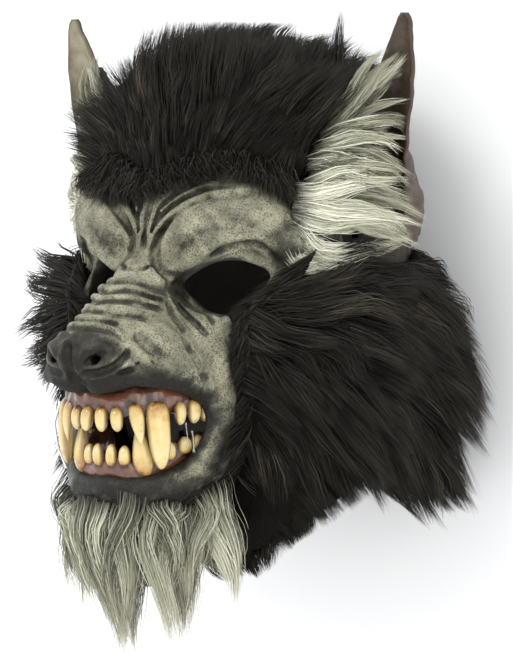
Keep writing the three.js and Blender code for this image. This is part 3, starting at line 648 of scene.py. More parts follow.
def wander(p, wavelength, seed):
    """A smooth scatter between about -1 and 1 that changes over one wavelength."""
    waves = np.random.default_rng(seed)
    total = np.zeros(p.shape[:-1], np.float32)
    for _ in range(6):
        wave = unit(waves.normal(size=3)) * 2 * np.pi / wavelength * waves.uniform(0.7, 1.4)
        total += np.sin(p @ wave.astype(np.float32) + waves.uniform(0, 2 * np.pi))
    return total / 2.5


def hair_mesh(name, paths, width, tone, taper):
    """Fine strips along paths, with the hair's tone and its length from the root as UV."""
    paths = paths.astype(np.float32)
    count, stations = paths.shape[:2]
    rings = stations - 1
    along = unit(np.gradient(paths, axis=1))
    any_way = unit(random.normal(size=(count, 1, 3)))
    side = unit(np.cross(along, np.broadcast_to(any_way, along.shape)))[:, :rings]
    side = side * (width[:, None] * np.array(taper)[None, :rings] / 2)[..., None]
    points = np.stack([paths[:, :rings] - side, paths[:, :rings] + side], 2).reshape(count, -1, 3)
    points = np.concatenate([points, paths[:, -1:]], 1)
    tip = 2 * rings
    faces = [(tip - 2, tip - 1, tip)]
    for a in range(0, tip - 2, 2):
        faces += [(a, a + 1, a + 3), (a, a + 3, a + 2)]
    everywhere = (np.arange(count)[:, None, None] * (tip + 1) + np.array(faces)[None]).reshape(-1, 3)
    points[..., 2] = np.maximum(points[..., 2], HAIR_ABOVE_FLOOR)
    obj = make_mesh(name, points.reshape(-1, 3), everywhere)
    u = tone[:, None] * 0.96 + 0.01 + np.append(np.tile((0, 0.01), rings), 0.005)[None]
    v = np.append(np.repeat(np.arange(rings), 2), rings) / rings
    uv = np.stack([u, np.broadcast_to(v, u.shape)], -1).reshape(-1, 2)
    layer = obj.data.uv_layers.new(name="OFBake")
    layer.data.foreach_set("uv", uv[everywhere.ravel()].astype(np.float32).ravel())
    return obj


def scattered(points, quads, wanted, keep):
    """Random places on a mesh's faces whose middles pass keep, spread by area."""
    corners = points[quads]
    middles = corners.mean(1)
    normals = np.cross(corners[:, 2] - corners[:, 0], corners[:, 3] - corners[:, 1]) / 2
    area = np.linalg.norm(normals, axis=1) * keep(middles, unit(normals))
    chosen = random.choice(len(quads), wanted, p=area / area.sum())
    u, v = random.random((2, wanted, 1))
    a, b, c, d = np.moveaxis(corners[chosen], 1, 0)
    return mix(mix(a, b, u), mix(d, c, u), v)


def nearest(points, centres):
    """Index of the nearest centre to each point."""
    found = []
    for part in np.array_split(points, max(1, len(points) // 2000)):
        gap = ((part[:, None] - centres[None]) ** 2).sum(-1)
        found.append(gap.argmin(1))
    return np.concatenate(found)


def grow(roots, lengths, flow, lifts, veer, flare):
    """Paths that leave the skin at one slope after another and bend over into the flow of the coat."""
    path = [roots]
    for lift in lifts:
        at = path[-1].astype(np.float32)
        out = slope_of(base_form, at)
        along = flow(at)
        along = unit(along - out * (along * out).sum(-1, keepdims=True))
        side = np.cross(out, along)
        turned = along * np.cos(veer)[:, None] + side * np.sin(veer)[:, None]
        rise = np.radians(np.clip(lift + flare(at), -10, 80))[:, None]
        path.append(at + (turned * np.cos(rise) + out * np.sin(rise)) * lengths[:, None] / len(lifts))
    return np.stack(path, 1)


def trimmed(paths, room):
    """Paths drawn back towards their roots until no point lies outside the room."""
    for _ in range(3):
        over = np.maximum(-room(paths), 0).max(1)
        length = np.linalg.norm(np.diff(paths, axis=1), axis=-1).sum(1)
        share = np.clip(1 - 1.1 * over / length, 0.25, 1)
        paths = paths[:, :1] + (paths - paths[:, :1]) * share[:, None, None]
    return paths


CLUMP_SPREAD = 0.2  # how far clumps turn out of the flow, one by one, in radians
CLUMP_SWIRL = 0.25  # and in broad swirls


def coat(roots, per_clump, length, flow, lifts, flare, gather, seed):
    """Paths of a coat whose hairs gather into pointed clumps, and the tone of each hair."""
    centres = roots[random.choice(len(roots), max(8, len(roots) // per_clump), replace=False)]
    clump_length = length(centres) * random.uniform(0.76, 1.22, len(centres))
    clump_veer = CLUMP_SWIRL * wander(centres, 60, seed) + random.normal(0, CLUMP_SPREAD, len(centres))
    guides = grow(centres, clump_length, flow, lifts, clump_veer, flare)
    leaders = random.choice(len(centres), max(4, len(centres) // 9), replace=False)
    led_by = leaders[nearest(centres, centres[leaders])]
    along = np.linspace(0, 1, guides.shape[1])[None, :, None]
    guides = mix(guides, guides[led_by], 0.62 * along ** 1.6)
    of = nearest(roots, centres)
    off = np.linalg.norm(roots - centres[of], axis=1)
    off = np.clip(off / np.quantile(off, 0.9), 0, 1)
    lengths = clump_length[of] * mix(1.12, 0.72, off) * random.uniform(0.85, 1.05, len(roots))
    veer = clump_veer[of] + random.normal(0, 0.12, len(roots))
    paths = grow(roots, lengths, flow, lifts, veer, flare)
    share = np.linspace(0, 1, paths.shape[1])[None, :, None] ** 1.3
    pull = share * gather * random.uniform(0.6, 1.0, len(roots))[:, None, None]
    paths = mix(paths, guides[of], pull)
    clump_tone = 0.5 + 0.18 * random.normal(size=len(centres))
    tone = np.clip(clump_tone[of] + 0.16 * random.normal(size=len(roots)), 0, 1)
    return paths, tone


# Materials
class Pattern:
    """A material's node tree, with short ways to add what the patterns here are made of."""

    def __init__(self, name, roughness=0.6, specular=0.5, coat=0.0, coat_roughness=0.1):
        self.material = bpy.data.materials.new(name)
        self.material.use_nodes = True
        self.nodes = self.material.node_tree.nodes
        self.shader = self.nodes["Principled BSDF"]
        self.shader.inputs["Roughness"].default_value = roughness
        self.shader.inputs["Specular IOR Level"].default_value = specular
        self.shader.inputs["Coat Weight"].default_value = coat
        self.shader.inputs["Coat Roughness"].default_value = coat_roughness
        self.place = self.nodes.new("ShaderNodeTexCoord").outputs["Object"]

    def link(self, source, target):
        self.material.node_tree.links.new(source, target)

    def feed(self, socket, value):
        if isinstance(value, bpy.types.NodeSocket):
            self.link(value, socket)
        else:
            socket.default_value = value

    def noise(self, scale, detail=3, roughness=0.55):
        node = self.nodes.new("ShaderNodeTexNoise")
        node.inputs["Scale"].default_value = scale
        node.inputs["Detail"].default_value = detail
        node.inputs["Roughness"].default_value = roughness
        self.link(self.place, node.inputs["Vector"])
        return node.outputs["Fac"]

    def speckle(self, scale):
        """Distance from scattered dots, one in each cell."""
        node = self.nodes.new("ShaderNodeTexVoronoi")
        node.inputs["Scale"].default_value = scale
        self.link(self.place, node.inputs["Vector"])
        return node.outputs["Distance"]

    def attribute(self, name):
        node = self.nodes.new("ShaderNodeAttribute")
        node.attribute_name = name
        return node.outputs["Fac"]

    def fit(self, value, low, high, to_low=0.0, to_high=1.0):
        node = self.nodes.new("ShaderNodeMapRange")
        for socket, number in zip(node.inputs[1:5], (low, high, to_low, to_high)):
            self.feed(socket, number)
        self.link(value, node.inputs[0])
        return node.outputs[0]

    def math(self, operation, a, b):
        node = self.nodes.new("ShaderNodeMath")
        node.operation = operation
        self.feed(node.inputs[0], a)
        self.feed(node.inputs[1], b)
        return node.outputs[0]

    def blend(self, share, a, b):
        node = self.nodes.new("ShaderNodeMix")
        node.data_type = "RGBA"
        self.feed(node.inputs["Factor"], share)
        self.feed(node.inputs[6], a)
        self.feed(node.inputs[7], b)
        return node.outputs[2]

    def ramp(self, value, stops):
        node = self.nodes.new("ShaderNodeValToRGB")
        band = node.color_ramp
        while len(band.elements) < len(stops):
            band.elements.new(0.5)
        for element, (where, colour) in zip(band.elements, stops):
            element.position = where
            element.color = colour
        self.link(value, node.inputs["Fac"])
        return node.outputs["Color"]

    def colour(self, value):
        self.feed(self.shader.inputs["Base Color"], value)

    def rough(self, value):
        self.feed(self.shader.inputs["Roughness"], value)

    def bump(self, height, distance):
        node = self.nodes.new("ShaderNodeBump")
        node.inputs["Distance"].default_value = distance
        self.link(height, node.inputs["Height"])
        self.link(node.outputs["Normal"], self.shader.inputs["Normal"])

    def hair_place(self):
        """The tone of a hair and how far along it a point lies."""
        node = self.nodes.new("ShaderNodeUVMap")
        node.uv_map = "OFBake"
        split = self.nodes.new("ShaderNodeSeparateXYZ")
        self.link(node.outputs["UV"], split.inputs[0])
        return split.outputs[0], split.outputs[1]


def latex_material():
    """Grey-green painted latex: dark in the creases and on nose and lips, with black specks all over."""
    m = Pattern("painted latex", specular=0.28)
    # the dark attribute carries dark paint and, from the relief, painted shade in recesses and on undersides
    # and painted highlight on swells
    dark = m.attribute("dark")
    uneven = m.math("ADD", dark, m.fit(m.noise(170, 5, 0.7), 0.3, 0.7, -0.13, 0.13))
    blotch = m.fit(m.noise(60, 5), 0.36, 0.66)
    light = m.blend(blotch, srgb(165, 162, 137), srgb(114, 112, 94))
    painted = m.blend(m.fit(uneven, 0.05, 0.5), light, srgb(88, 86, 72))
    painted = m.blend(m.fit(uneven, 0.36, 0.9), painted, srgb(21, 19, 15))
    many = m.fit(m.noise(90, 3), 0.4, 0.64, 0.12, 0.36)
    specks = m.math("LESS_THAN", m.speckle(850), m.math("ADD", many, m.math("MULTIPLY", dark, 0.25)))
    grain = m.fit(m.noise(1100, 2, 0.6), 0.5, 0.64, 0, 0.6)
    m.colour(m.blend(m.math("MAXIMUM", m.math("MULTIPLY", specks, 0.72), grain), painted, srgb(36, 34, 27)))
    m.rough(m.fit(m.attribute("wet"), 0, 1, 0.6, 0.22))
    m.bump(m.noise(900, 4, 0.65), 0.0005)
    return m.material


def plain_latex_material():
    """The unpainted inside of the casting and what the fur hides."""
    m = Pattern("bare latex", roughness=0.7)
    m.colour(m.blend(m.noise(40, 3), srgb(58, 50, 42), srgb(34, 30, 26)))
    return m.material


def ear_material():
    m = Pattern("ear latex", roughness=0.6)
    inner = m.attribute("inner")
    mottled = m.blend(m.fit(m.noise(90, 4), 0.3, 0.7), srgb(82, 67, 54), srgb(44, 36, 30))
    pale = m.blend(m.fit(m.noise(120, 4), 0.35, 0.7), srgb(164, 157, 132), srgb(122, 112, 92))
    dark_rim = m.blend(m.attribute("rim"), m.blend(inner, mottled, pale), srgb(62, 48, 38))
    m.colour(dark_rim)
    m.bump(m.noise(600, 3), 0.0004)
    return m.material


def tooth_material():
    """Glossy ivory, browner at the root and down the sides."""
    m = Pattern("ivory", roughness=0.28, coat=0.8, coat_roughness=0.06)
    along = m.math("ADD", m.attribute("along"), m.fit(m.noise(260, 3), 0.3, 0.7, -0.12, 0.12))
    base = m.ramp(along, [(0.0, srgb(112, 70, 30)), (0.1, srgb(190, 146, 78)), (0.32, srgb(212, 186, 118)),
                          (0.8, srgb(224, 205, 147)), (1.0, srgb(208, 182, 118))])
    base = m.blend(m.fit(m.attribute("flank"), 0.72, 1.0, 0, 0.85), base, srgb(124, 84, 38))
    m.colour(m.blend(m.fit(m.noise(200, 4), 0.56, 0.74, 0, 0.5), base, srgb(172, 124, 60)))
    return m.material


def gum_material():
    m = Pattern("gum", roughness=0.3, coat=0.9, coat_roughness=0.05)
    flesh = m.blend(m.fit(m.noise(150, 3), 0.35, 0.65), srgb(128, 78, 54), srgb(84, 50, 36))
    m.colour(m.blend(m.attribute("dark"), flesh, srgb(26, 12, 8)))
    m.bump(m.noise(500, 3), 0.0003)
    return m.material


def gel_material():
    m = Pattern("clear gel", roughness=0.08)
    m.shader.inputs["Transmission Weight"].default_value = 0.85
    m.shader.inputs["IOR"].default_value = 1.4
    m.colour(m.blend(m.noise(200), (0.97, 0.97, 0.95, 1), (0.9, 0.9, 0.88, 1)))
    return m.material


def hair_material(name, tones, root, tip, roughness, specular):
    """Hairs of several tones, darker at the root and changed a little at the tip."""
    m = Pattern(name, roughness=roughness, specular=specular)
    tone, along = m.hair_place()
    hair = m.ramp(tone, tones)
    rooted = m.blend(m.fit(along, 0.0, root[1]), root[0], hair)
    m.colour(m.blend(m.fit(along, tip[1], 1.0, 0, 0.6), rooted, tip[0]))
    return m.material


def pelt_material(name, a, b):
    m = Pattern(name, roughness=0.95, specular=0.1)
    m.colour(m.blend(m.noise(500, 3), a, b))
    m.bump(m.noise(700, 2), 0.001)
    return m.material


def floor_material():
    m = Pattern("floor", roughness=0.8, specular=0.2)
    m.colour(m.blend(m.noise(3, 2), srgb(253, 253, 253), srgb(255, 255, 255)))
    return m.material


BLACK_FUR = dict(tones=[(0.0, srgb(20, 18, 15)), (0.5, srgb(36, 33, 28)), (0.85, srgb(56, 51, 43)),
                        (1.0, srgb(84, 77, 65))],
                 root=(srgb(14, 12, 10), 0.35), tip=(srgb(44, 40, 34), 0.7), roughness=0.62, specular=0.22)
GREY_FUR = dict(tones=[(0.0, srgb(58, 56, 47)), (0.3, srgb(122, 121, 103)), (0.6, srgb(188, 188, 166)),
                       (1.0, srgb(240, 239, 220))],
                root=(srgb(70, 68, 58), 0.22), tip=(srgb(206, 202, 178), 0.6), roughness=0.5, specular=0.35)


def finish_piece(obj, material, slot, *nodes):
    """A piece's material, the body it rides on and the solids it stands for; slot is not used."""
    obj.data.materials.append(material)
    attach(obj, "root")
    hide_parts(*nodes)


def give(obj, name, values):
    """A number for each vertex, which the material reads."""
    layer = obj.data.attributes.new(name, "FLOAT", "POINT")
    layer.data.foreach_set("value", np.asarray(values, np.float32))


# Latex head: the creased face, and the rest of the casting under the fur
# Where paint is dark: (x, y, z), radii, strength; the left side's, read on both
DARK_PAINT = [
    ((0, -31, 239), (22, 10.8, 17), 0.95), ((0, -44, 243), (22, 9, 12), 0.75),
    ((0, -97, 200), (46, 12, 40), 0.9), ((20, -3, 181), (6, 7, 8), 0.6),
    ((60, 10, 150), (7, 24, 16), 0.5), ((33, -3, 168), (24, 14, 7), 0.7),
    ((0, 47, 168), (50, 6, 14), 0.35), ((46, -50, 170), (8, 40, 12), 0.6),
    ((46, -80, 174), (12, 20, 20), 0.85), ((40, -66, 184), (5, 26, 8), 0.55),
    ((18, -37, 226), (14, 8, 12), 0.35),
]
WET_PAINT = [((0, -34, 244), (20, 10, 14), 0.5), ((0, -97, 208), (44, 9, 34), 1.0),
             ((0, -56, 236), (30, 4, 20), 0.8), ((39, -66, 186), (6, 22, 12), 0.8)]
LIP_PAINT = {"upper": 15, "lower": 8, "front": 166}  # width of the dark band round the mouth


def lip_paint(p):
    """Dark band along the lips, broad on the upper one."""
    gap = outline_distance(np.abs(p[:, 0]), p[:, 1], WHOLE_MOUTH)
    broad = mix(LIP_PAINT["lower"], LIP_PAINT["upper"], smooth(-62, -52, p[:, 1]))
    return smooth(broad, 0.2 * broad, gap) * smooth(LIP_PAINT["front"], LIP_PAINT["front"] + 8, p[:, 2])


def painted(p, spots):
    """Strength of soft spots of paint."""
    q = folded(p)
    total = np.zeros(len(p), np.float32)
    for at, radii, strength in spots:
        d = (((q - np.float32(at)) / np.float32(radii)) ** 2).sum(-1)
        total = np.maximum(total, strength * np.exp(-(d ** 2)))
    return total


def crease_shadow(p):
    """Dark paint that stays in the creases, as a thin line and a soft shadow."""
    def effect(depth, d, present):
        line, shadow = 0.7 * np.exp(-((d / 0.45) ** 2)), 0.2 * np.exp(-((d / 1.9) ** 2))
        return max(depth, 0) / 3 * present * (line + shadow)
    return np.minimum(along_creases(p, effect), 1)


FACE_LOW, FACE_HIGH = (-67, -116, 119), (67, 68, 252)
HOOD_LOW, HOOD_HIGH = (-82, -152, -2), (82, 112, 214)
INSIDE_KEPT = 0.5  # share of the face's faces that thinning its inside may leave


def inside_box(p, low, high):
    """Signed distance to a box, negative inside it."""
    middle, half = (np.float32(low) + np.float32(high)) / 2, (np.float32(high) - np.float32(low)) / 2
    return (np.abs(p - middle) - half).max(-1)


def painted_relief_shade(p):
    """Painted shade in recesses and on undersides, painted highlight on swells, from the form round each
    point.
    """
    out = slope_of(creased_form, p)
    relief_shade = np.zeros(len(p), np.float32)
    swell = np.zeros(len(p), np.float32)
    for distance, share in ((2.5, 0.45), (7.0, 0.55)):
        relief_shade += share * np.maximum(distance - creased_form(p + out * distance), 0) / distance
        swell += share * np.maximum(creased_form(p - out * distance) + distance, 0) / distance
    # painted shade on surfaces that face down, as under light from above
    below = np.clip(-out[:, 1], -0.5, 1) * 0.3
    return smooth(0.06, 0.6, relief_shade) - 0.35 * smooth(0.05, 0.4, swell) + below


def latex_face():
    points, quads = surface_of(head_form, FACE_LOW, FACE_HIGH, FACE_VOXEL)
    face = make_mesh("latex_face", points, quads)
    p = points.astype(np.float32)
    inner = np.minimum(hood_form(folded(p)), muzzle_form(folded(p))) < -WALL + 0.8
    ragged = 0.12 * wander(p, 9, 11) + 0.08 * wander(p, 4, 12)
    relief_shade = np.zeros(len(p), np.float32)
    relief_shade[~inner] = painted_relief_shade(p[~inner])
    dark = np.maximum(np.maximum(painted(p, DARK_PAINT), lip_paint(p)), crease_shadow(p))
    # on top of the dark paint, the relief adds painted shade in recesses and on undersides, and takes paint
    # off as painted highlight on swells
    dark = np.clip(dark + 0.45 * np.maximum(relief_shade, 0) + 0.09 + 0.5 * np.minimum(relief_shade, 0) + ragged, 0, 1)
    # the inside of the casting gets the darkest paint: painted shade inside the head, seen through the eye
    # holes and the mouth
    give(face, "dark", np.where(inner, 1.0, dark))
    give(face, "wet", np.where(inner, 0.1, painted(p, WET_PAINT)))
    group = face.vertex_groups.new(name="inner")
    group.add(np.flatnonzero(inner).tolist(), 1.0, "REPLACE")
    thin = face.modifiers.new("thin", "DECIMATE")
    thin.ratio = INSIDE_KEPT
    thin.vertex_group = "inner"
    thin.vertex_group_factor = 10
    finish_piece(face, latex_material(), "latex", "latex_head")


def latex_hood():
    """The rest of the casting, cut off a little way inside the edge of the face."""
    low, high = np.array(FACE_LOW) + 1, np.array(FACE_HIGH) - 1
    high[2] = 400

    def form(p):
        return np.maximum(head_form(p), -inside_box(p, low, high))

    points, quads = surface_of(form, HOOD_LOW, HOOD_HIGH, HOOD_VOXEL)
    hood = make_mesh("latex_hood", points, quads)
    finish_piece(hood, plain_latex_material(), "latex", "latex_head")


# Dentures
UPPER_ARCH = {"half_width": 33, "depth": 40, "z": 185}
LOWER_ARCH = {"half_width": 30, "depth": 37, "z": 180}
# How a tooth widens and narrows: how far down it is widest, and how late and how sharply it draws in
CUTTER = (0.4, 2.4, 0.5)
FANG = (0.3, 1.7, 0.8)
LONG_FANG = (0.2, 2.9, 0.5)
LOW_FANG = (0.32, 1.35, 0.95)
# Teeth from the front back: (degrees round the arch, width, depth, root y, tip y, lean of the tip, shape)
UPPER_TEETH = [
    (6.4, 6.2, 6, -57.6, -69.8, 0.6, CUTTER), (19, 6.2, 6, -57.8, -69.6, 0.6, CUTTER),
    (32.5, 7.4, 6, -55.4, -76, 3.6, FANG), (48.5, 11.2, 8, -54.6, -87.4, 2.6, LONG_FANG),
    (66.5, 5.8, 5.5, -55.6, -67, 0.3, CUTTER), (78, 7.2, 5.5, -54.8, -66.6, 0.3, CUTTER),
    (89, 6.6, 5, -55.6, -66.2, 0.3, CUTTER)]
LOWER_TEETH = [
    (6.8, 5.4, 5.5, -86.8, -76, 0, CUTTER), (19, 5.9, 5.5, -86.8, -76.6, 0, CUTTER),
    (36, 10.2, 8, -91.4, -64.4, -3.6, LOW_FANG), (55, 6.6, 5.5, -84.4, -75, 0, CUTTER),
    (68, 7.4, 5.5, -81.4, -73, 0, CUTTER), (80, 6.6, 5, -79.8, -72.4, 0, CUTTER)]
GUM = {"ends": 92, "inset": 2.2, "half_height": 6.6, "half_thickness": 3.4}


def arch_point(arch, degrees, inset=0.0):
    a = np.radians(degrees)
    x = (arch["half_width"] - inset) * np.sin(a)
    return np.stack([x, np.zeros_like(x), arch["z"] + (arch["depth"] - inset) * np.cos(a)], -1)


TOOTH_SIDES, TOOTH_RINGS = 18, 18
TOOTH_STANDS_OUT = 0.9


def tooth_breadth(t, shape):
    """Share of a tooth's width along it, from 0 at its rounded root to 0 at its tip."""
    widest, late, sharp = shape
    root = np.clip((widest - t) / widest, 0, 1)
    tip = np.clip((t - widest) / (1 - widest), 0, 1)
    return np.where(t < widest, (1 - root ** 2.3) ** 0.5, (1 - tip ** late) ** sharp)


def tooth(arch, degrees, width, depth, root_y, tip_y, lean, shape):
    """Points and faces of one tooth, how far down it each point lies and how near its sides."""
    t = (1 - np.cos(np.linspace(0, math.pi, TOOTH_RINGS))) / 2
    breadth = tooth_breadth(t, shape)
    around = np.arange(TOOTH_SIDES) * 2 * np.pi / TOOTH_SIDES
    square = (np.abs(np.cos(around)) ** 2.3 + np.abs(np.sin(around)) ** 2.3) ** (-1 / 2.3)
    across = np.cos(around) * square * width / 2
    deep = np.sin(around) * square * depth / 2
    a = math.radians(degrees)
    out, side = np.array([math.sin(a), 0, math.cos(a)]), np.array([math.cos(a), 0, -math.sin(a)])
    long = abs(tip_y - root_y) / 12
    bow = TOOTH_STANDS_OUT + 0.6 * long * np.sin(np.pi * t * 0.85) + random.normal(0, 0.25) * t
    aside = (math.copysign(lean, lean * degrees) + random.normal(0, 0.25)) * t
    centre = arch_point(arch, float(degrees)) + np.outer(bow, out) + np.outer(aside, side)
    centre[:, 1] = root_y + (tip_y - root_y) * t
    rings = breadth[:, None, None] * (across[:, None] * side + deep[:, None] * out)
    points = (centre[:, None] + rings)[1:-1].reshape(-1, 3)
    count = TOOTH_RINGS - 2
    points = np.vstack([points, centre[0], centre[-1]])
    faces = closed_tube_faces(count, TOOTH_SIDES)
    if tip_y > root_y:
        faces = [face[::-1] for face in faces]
    along = np.append(np.repeat(t[1:-1], TOOTH_SIDES), (0, 1))
    flank = np.append(np.tile(np.abs(np.cos(around)), count), (0, 0))
    return points, faces, along, flank


def both_sides(teeth):
    return [t for (degrees, *rest) in teeth for t in ((degrees, *rest), (-degrees, *rest))]


def teeth_piece(name, arch, teeth, node):
    points, faces, along, flanks = [], [], [], []
    for one in both_sides(teeth):
        p, f, a, flank = tooth(arch, *one)
        faces += [tuple(i + sum(map(len, points)) for i in face) for face in f]
        points.append(p)
        along.append(a)
        flanks.append(flank)
    obj = make_tube_mesh(name, np.vstack(points), faces)
    give(obj, "along", np.concatenate(along))
    give(obj, "flank", np.concatenate(flanks))
    finish_piece(obj, TOOTH, "denture", node)


def upper_gum_y(degrees):
    return -56.6 + 1.2 * smooth(30, 60, degrees)


def lower_gum_y(degrees):
    return -87 + 8.5 * smooth(20, 90, degrees)


def gum_form(arch, teeth, y_at):
    """The arched gum, which swells round the root of each tooth."""
    ends = np.linspace(-GUM["ends"], GUM["ends"], 41)
    line = arch_point(arch, ends, GUM["inset"])
    line[:, 1] = y_at(np.abs(ends))
    flat = GUM["half_thickness"] / GUM["half_height"]
    stops = [(x, y * flat, z, GUM["half_thickness"]) for x, y, z in line]
    roots = []
    for degrees, width, _, root_y, tip_y, *_ in both_sides(teeth):
        x, _, z = arch_point(arch, float(degrees), 2.4)
        rise = math.copysign(1.0, root_y - tip_y)
        roots.append([(x, root_y + 2.5 * rise, z, width * 0.42), (x, root_y - 2 * rise, z, width * 0.46)])

    def form(p):
        d = bar(p * np.float32((1, flat, 1)), stops)
        for root in roots:
            d = blend(d, bar(p, root), 3)
        return d - 0.45 * wander(p, 9, 21)
    return form


def gum_piece(name, arch, teeth, y_at, node):
    heights = y_at(np.array([0.0, 90.0]))
    low = (-42, heights.min() - 12, 168)
    high = (42, heights.max() + 12, 238)
    points, quads = surface_of(gum_form(arch, teeth, y_at), low, high, GUM_VOXEL)
    obj = make_mesh(name, points, quads)
    dark = np.zeros(len(points))
    for degrees, width, _, root_y, tip_y, _, shape in both_sides(teeth):
        a = math.radians(degrees)
        centre = arch_point(arch, float(degrees))
        beside = np.abs((points - centre) @ np.array([math.cos(a), 0, -math.sin(a)]))
        t = (points[:, 1] - root_y) / (tip_y - root_y)
        breadth = tooth_breadth(np.clip(t, 0.05, 0.9), shape) * width / 2
        beyond = np.maximum(np.maximum(-t, t - 1) * abs(tip_y - root_y), 0)
        gap = np.hypot(np.maximum(beside - breadth, 0), beyond)
        in_front = ((points - centre) @ np.array([math.sin(a), 0, math.cos(a)])) > -3
        dark = np.maximum(dark, np.exp(-(gap / 0.9) ** 2) * in_front)
    give(obj, "dark", dark)
    finish_piece(obj, GUM_FLESH, "denture", node)


# Ears. Each row from the foot up: y, x of the inner and the outer rim, z of the rims and depth of the cup.
EAR_ROWS = np.array([
    (17, 60, 87, 100, 32), (25, 60, 90.5, 102, 33), (36, 61, 93.5, 103, 33), (49, 59, 95.5, 106, 25),
    (64, 62, 98.5, 109, 13), (82, 73, 101.5, 110, 9), (103, 85, 103.3, 111, 6.5),
    (116, 91.2, 102.5, 111.4, 4.2), (121, 93, 102.1, 111.7, 3), (125, 95.2, 101, 112, 2),
    (126.8, 97.4, 99.4, 112, 1)])
EAR_WALL = 3
EAR_COLUMNS, EAR_STEPS = 28, 60


def ear_surface(u, y):
    """Middle of the ear's wall: u runs from the inner rim to the outer one, -1 to 1."""
    inner, outer, z, depth = (np.interp(y, EAR_ROWS[:, 0], EAR_ROWS[:, k]) for k in range(1, 5))
    deep = smooth(70, 45, y)
    across = mix(u, np.sin(u * np.pi / 2), deep)
    bowl = mix(1 - u * u, np.cos(u * np.pi / 2), deep)
    return np.stack([(inner + outer) / 2 + (outer - inner) / 2 * across, y, z - depth * bowl], -1)


def ear_piece(name, side, node):
    """The ear's cup: its front and back faces and a round rim, as one closed skin."""
    loop = np.linspace(0, 2 * np.pi, 2 * EAR_COLUMNS, endpoint=False)
    y = np.linspace(EAR_ROWS[0, 0], EAR_ROWS[-1, 0] - 0.3, EAR_STEPS)
    y, loop = np.meshgrid(y, loop, indexing="ij")
    u = np.cos(loop) * 0.985
    thickness = EAR_WALL / 2 * np.sin(loop) / np.maximum(np.abs(np.sin(loop)) ** 0.55, 0.05)
    middle = ear_surface(u, y)
    across = ear_surface(u + 0.02, y) - ear_surface(u - 0.02, y)
    up = ear_surface(u, y + 0.5) - ear_surface(u, y - 0.5)
    out = unit(np.cross(across, up))
    at = middle.astype(np.float32)
    crinkle = 0.5 * wander(at, 16, 31) + 0.25 * wander(at, 7, 32)
    points = middle + out * (thickness + crinkle)[..., None]
    faces = closed_tube_faces(EAR_STEPS, points.shape[1])
    flat = np.vstack([points.reshape(-1, 3), points[0].mean(0), points[-1].mean(0) + (0, 0.6, 0)])
    if side < 0:
        flat = flat * (-1, 1, 1)
    else:
        faces = [face[::-1] for face in faces]
    obj = make_tube_mesh(name, flat, faces)
    rim = np.append(np.exp(-((np.abs(u) - 1) / 0.1) ** 2).ravel(), (0, 1))
    pale = 1 if side < 0 else 0
    give(obj, "inner", np.append((np.sin(loop) > 0).ravel() * pale, (0, 0)))
    give(obj, "rim", rim * 0.6)
    finish_piece(obj, EAR_SKIN, "ear_latex", node)


# Pelts and coats
def pelt(name, form, low, high, node):
    points, quads = surface_of(form, low, high, PELT_VOXEL)
    finish_piece(make_mesh(name, points, quads), BLACK_PELT, "black_fur", node)
    return points, quads


def mirrored(p):
    return p * np.array((-1, 1, 1))


def around_head(p):
    """Level direction that leads away from the face round the head's axis."""
    x, z = p[..., 0], p[..., 2] - AXIS_Z
    return unit(np.stack([z, np.zeros_like(x), -x], -1) * np.where(x < 0, -1, 1)[..., None])


DOWN = np.array((0, -1, 0))
TAPER = (1.0, 0.9, 0.6)


def ruff_flow(p):
    """Back and down, and steeper towards the hem and the throat."""
    down = mix(18, 74, smooth(0, -120, p[..., 1])) - 22 * smooth(-22, 10, p[..., 1])
    steep = np.radians(down + 22 * smooth(120, 40, p[..., 2]))[..., None]
    return np.cos(steep) * around_head(p) + np.sin(steep) * DOWN


def ruff_flare(p):
    """The ruff stands away from the head where it is widest seen from the front."""
    turn = cheek_place(p)[0]
    far = smooth(10, -10, p[..., 0])
    front = 34 * smooth(34, 52, turn) * smooth(88, 66, turn) * np.maximum(smooth(10, -30, p[..., 1]), far)
    side = 25 * smooth(80, 104, turn) * smooth(165, 130, turn) * smooth(8, -20, p[..., 1])
    return front + side - 6 * smooth(40, 25, turn)


# The ruff's lower edge as it slants up from the throat in the photo's view: (pixels across, y)
SLANT = np.array([(100, -146), (118, -145), (128, -141), (155, -127), (232, -103)])


def ruff_room(p):
    """How far inside the ragged edge of the ruff a point lies."""
    turn = cheek_place(p)[0]
    fringe = 9 * smooth(28, 14, turn) + 1 + 22 * smooth(76, 100, turn)
    above = above_hem(p) + FUR_BELOW_LATEX + fringe * (1 + 0.7 * wander(p, 26, 61))
    across = 1.73 * np.abs(p[..., 0]) - 1.21 * (p[..., 2] - 188)
    slant = np.interp(across, SLANT[:, 0], SLANT[:, 1])
    return np.minimum(above, p[..., 1] - slant + 30 * smooth(SLANT[-1, 0], SLANT[-1, 0] + 30, across))


def crown_flow(p):
    """Up and back from the hairline, outwards at the sides."""
    sideways = mix(0.8, 1.5, smooth(10, -10, p[..., 0]))
    lean = sideways * p[..., 0] / 60 * smooth(15, 55, np.abs(p[..., 0]))
    back = -0.3 - 0.5 * smooth(60, 120, p[..., 1])
    return unit(np.stack([lean, np.full(p.shape[:-1], 0.95), back], -1))


def crown_flare(p):
    """The crown's sides stand out, and what is behind the ears and on the back lies close."""
    turn, tilt, _ = crown_place(p)
    out = mix(16, 28, smooth(10, -10, p[..., 0])) * smooth(20, 50, turn) * smooth(95, 75, turn)
    return out - 38 * smooth(62, 92, turn) * smooth(38, 60, tilt)


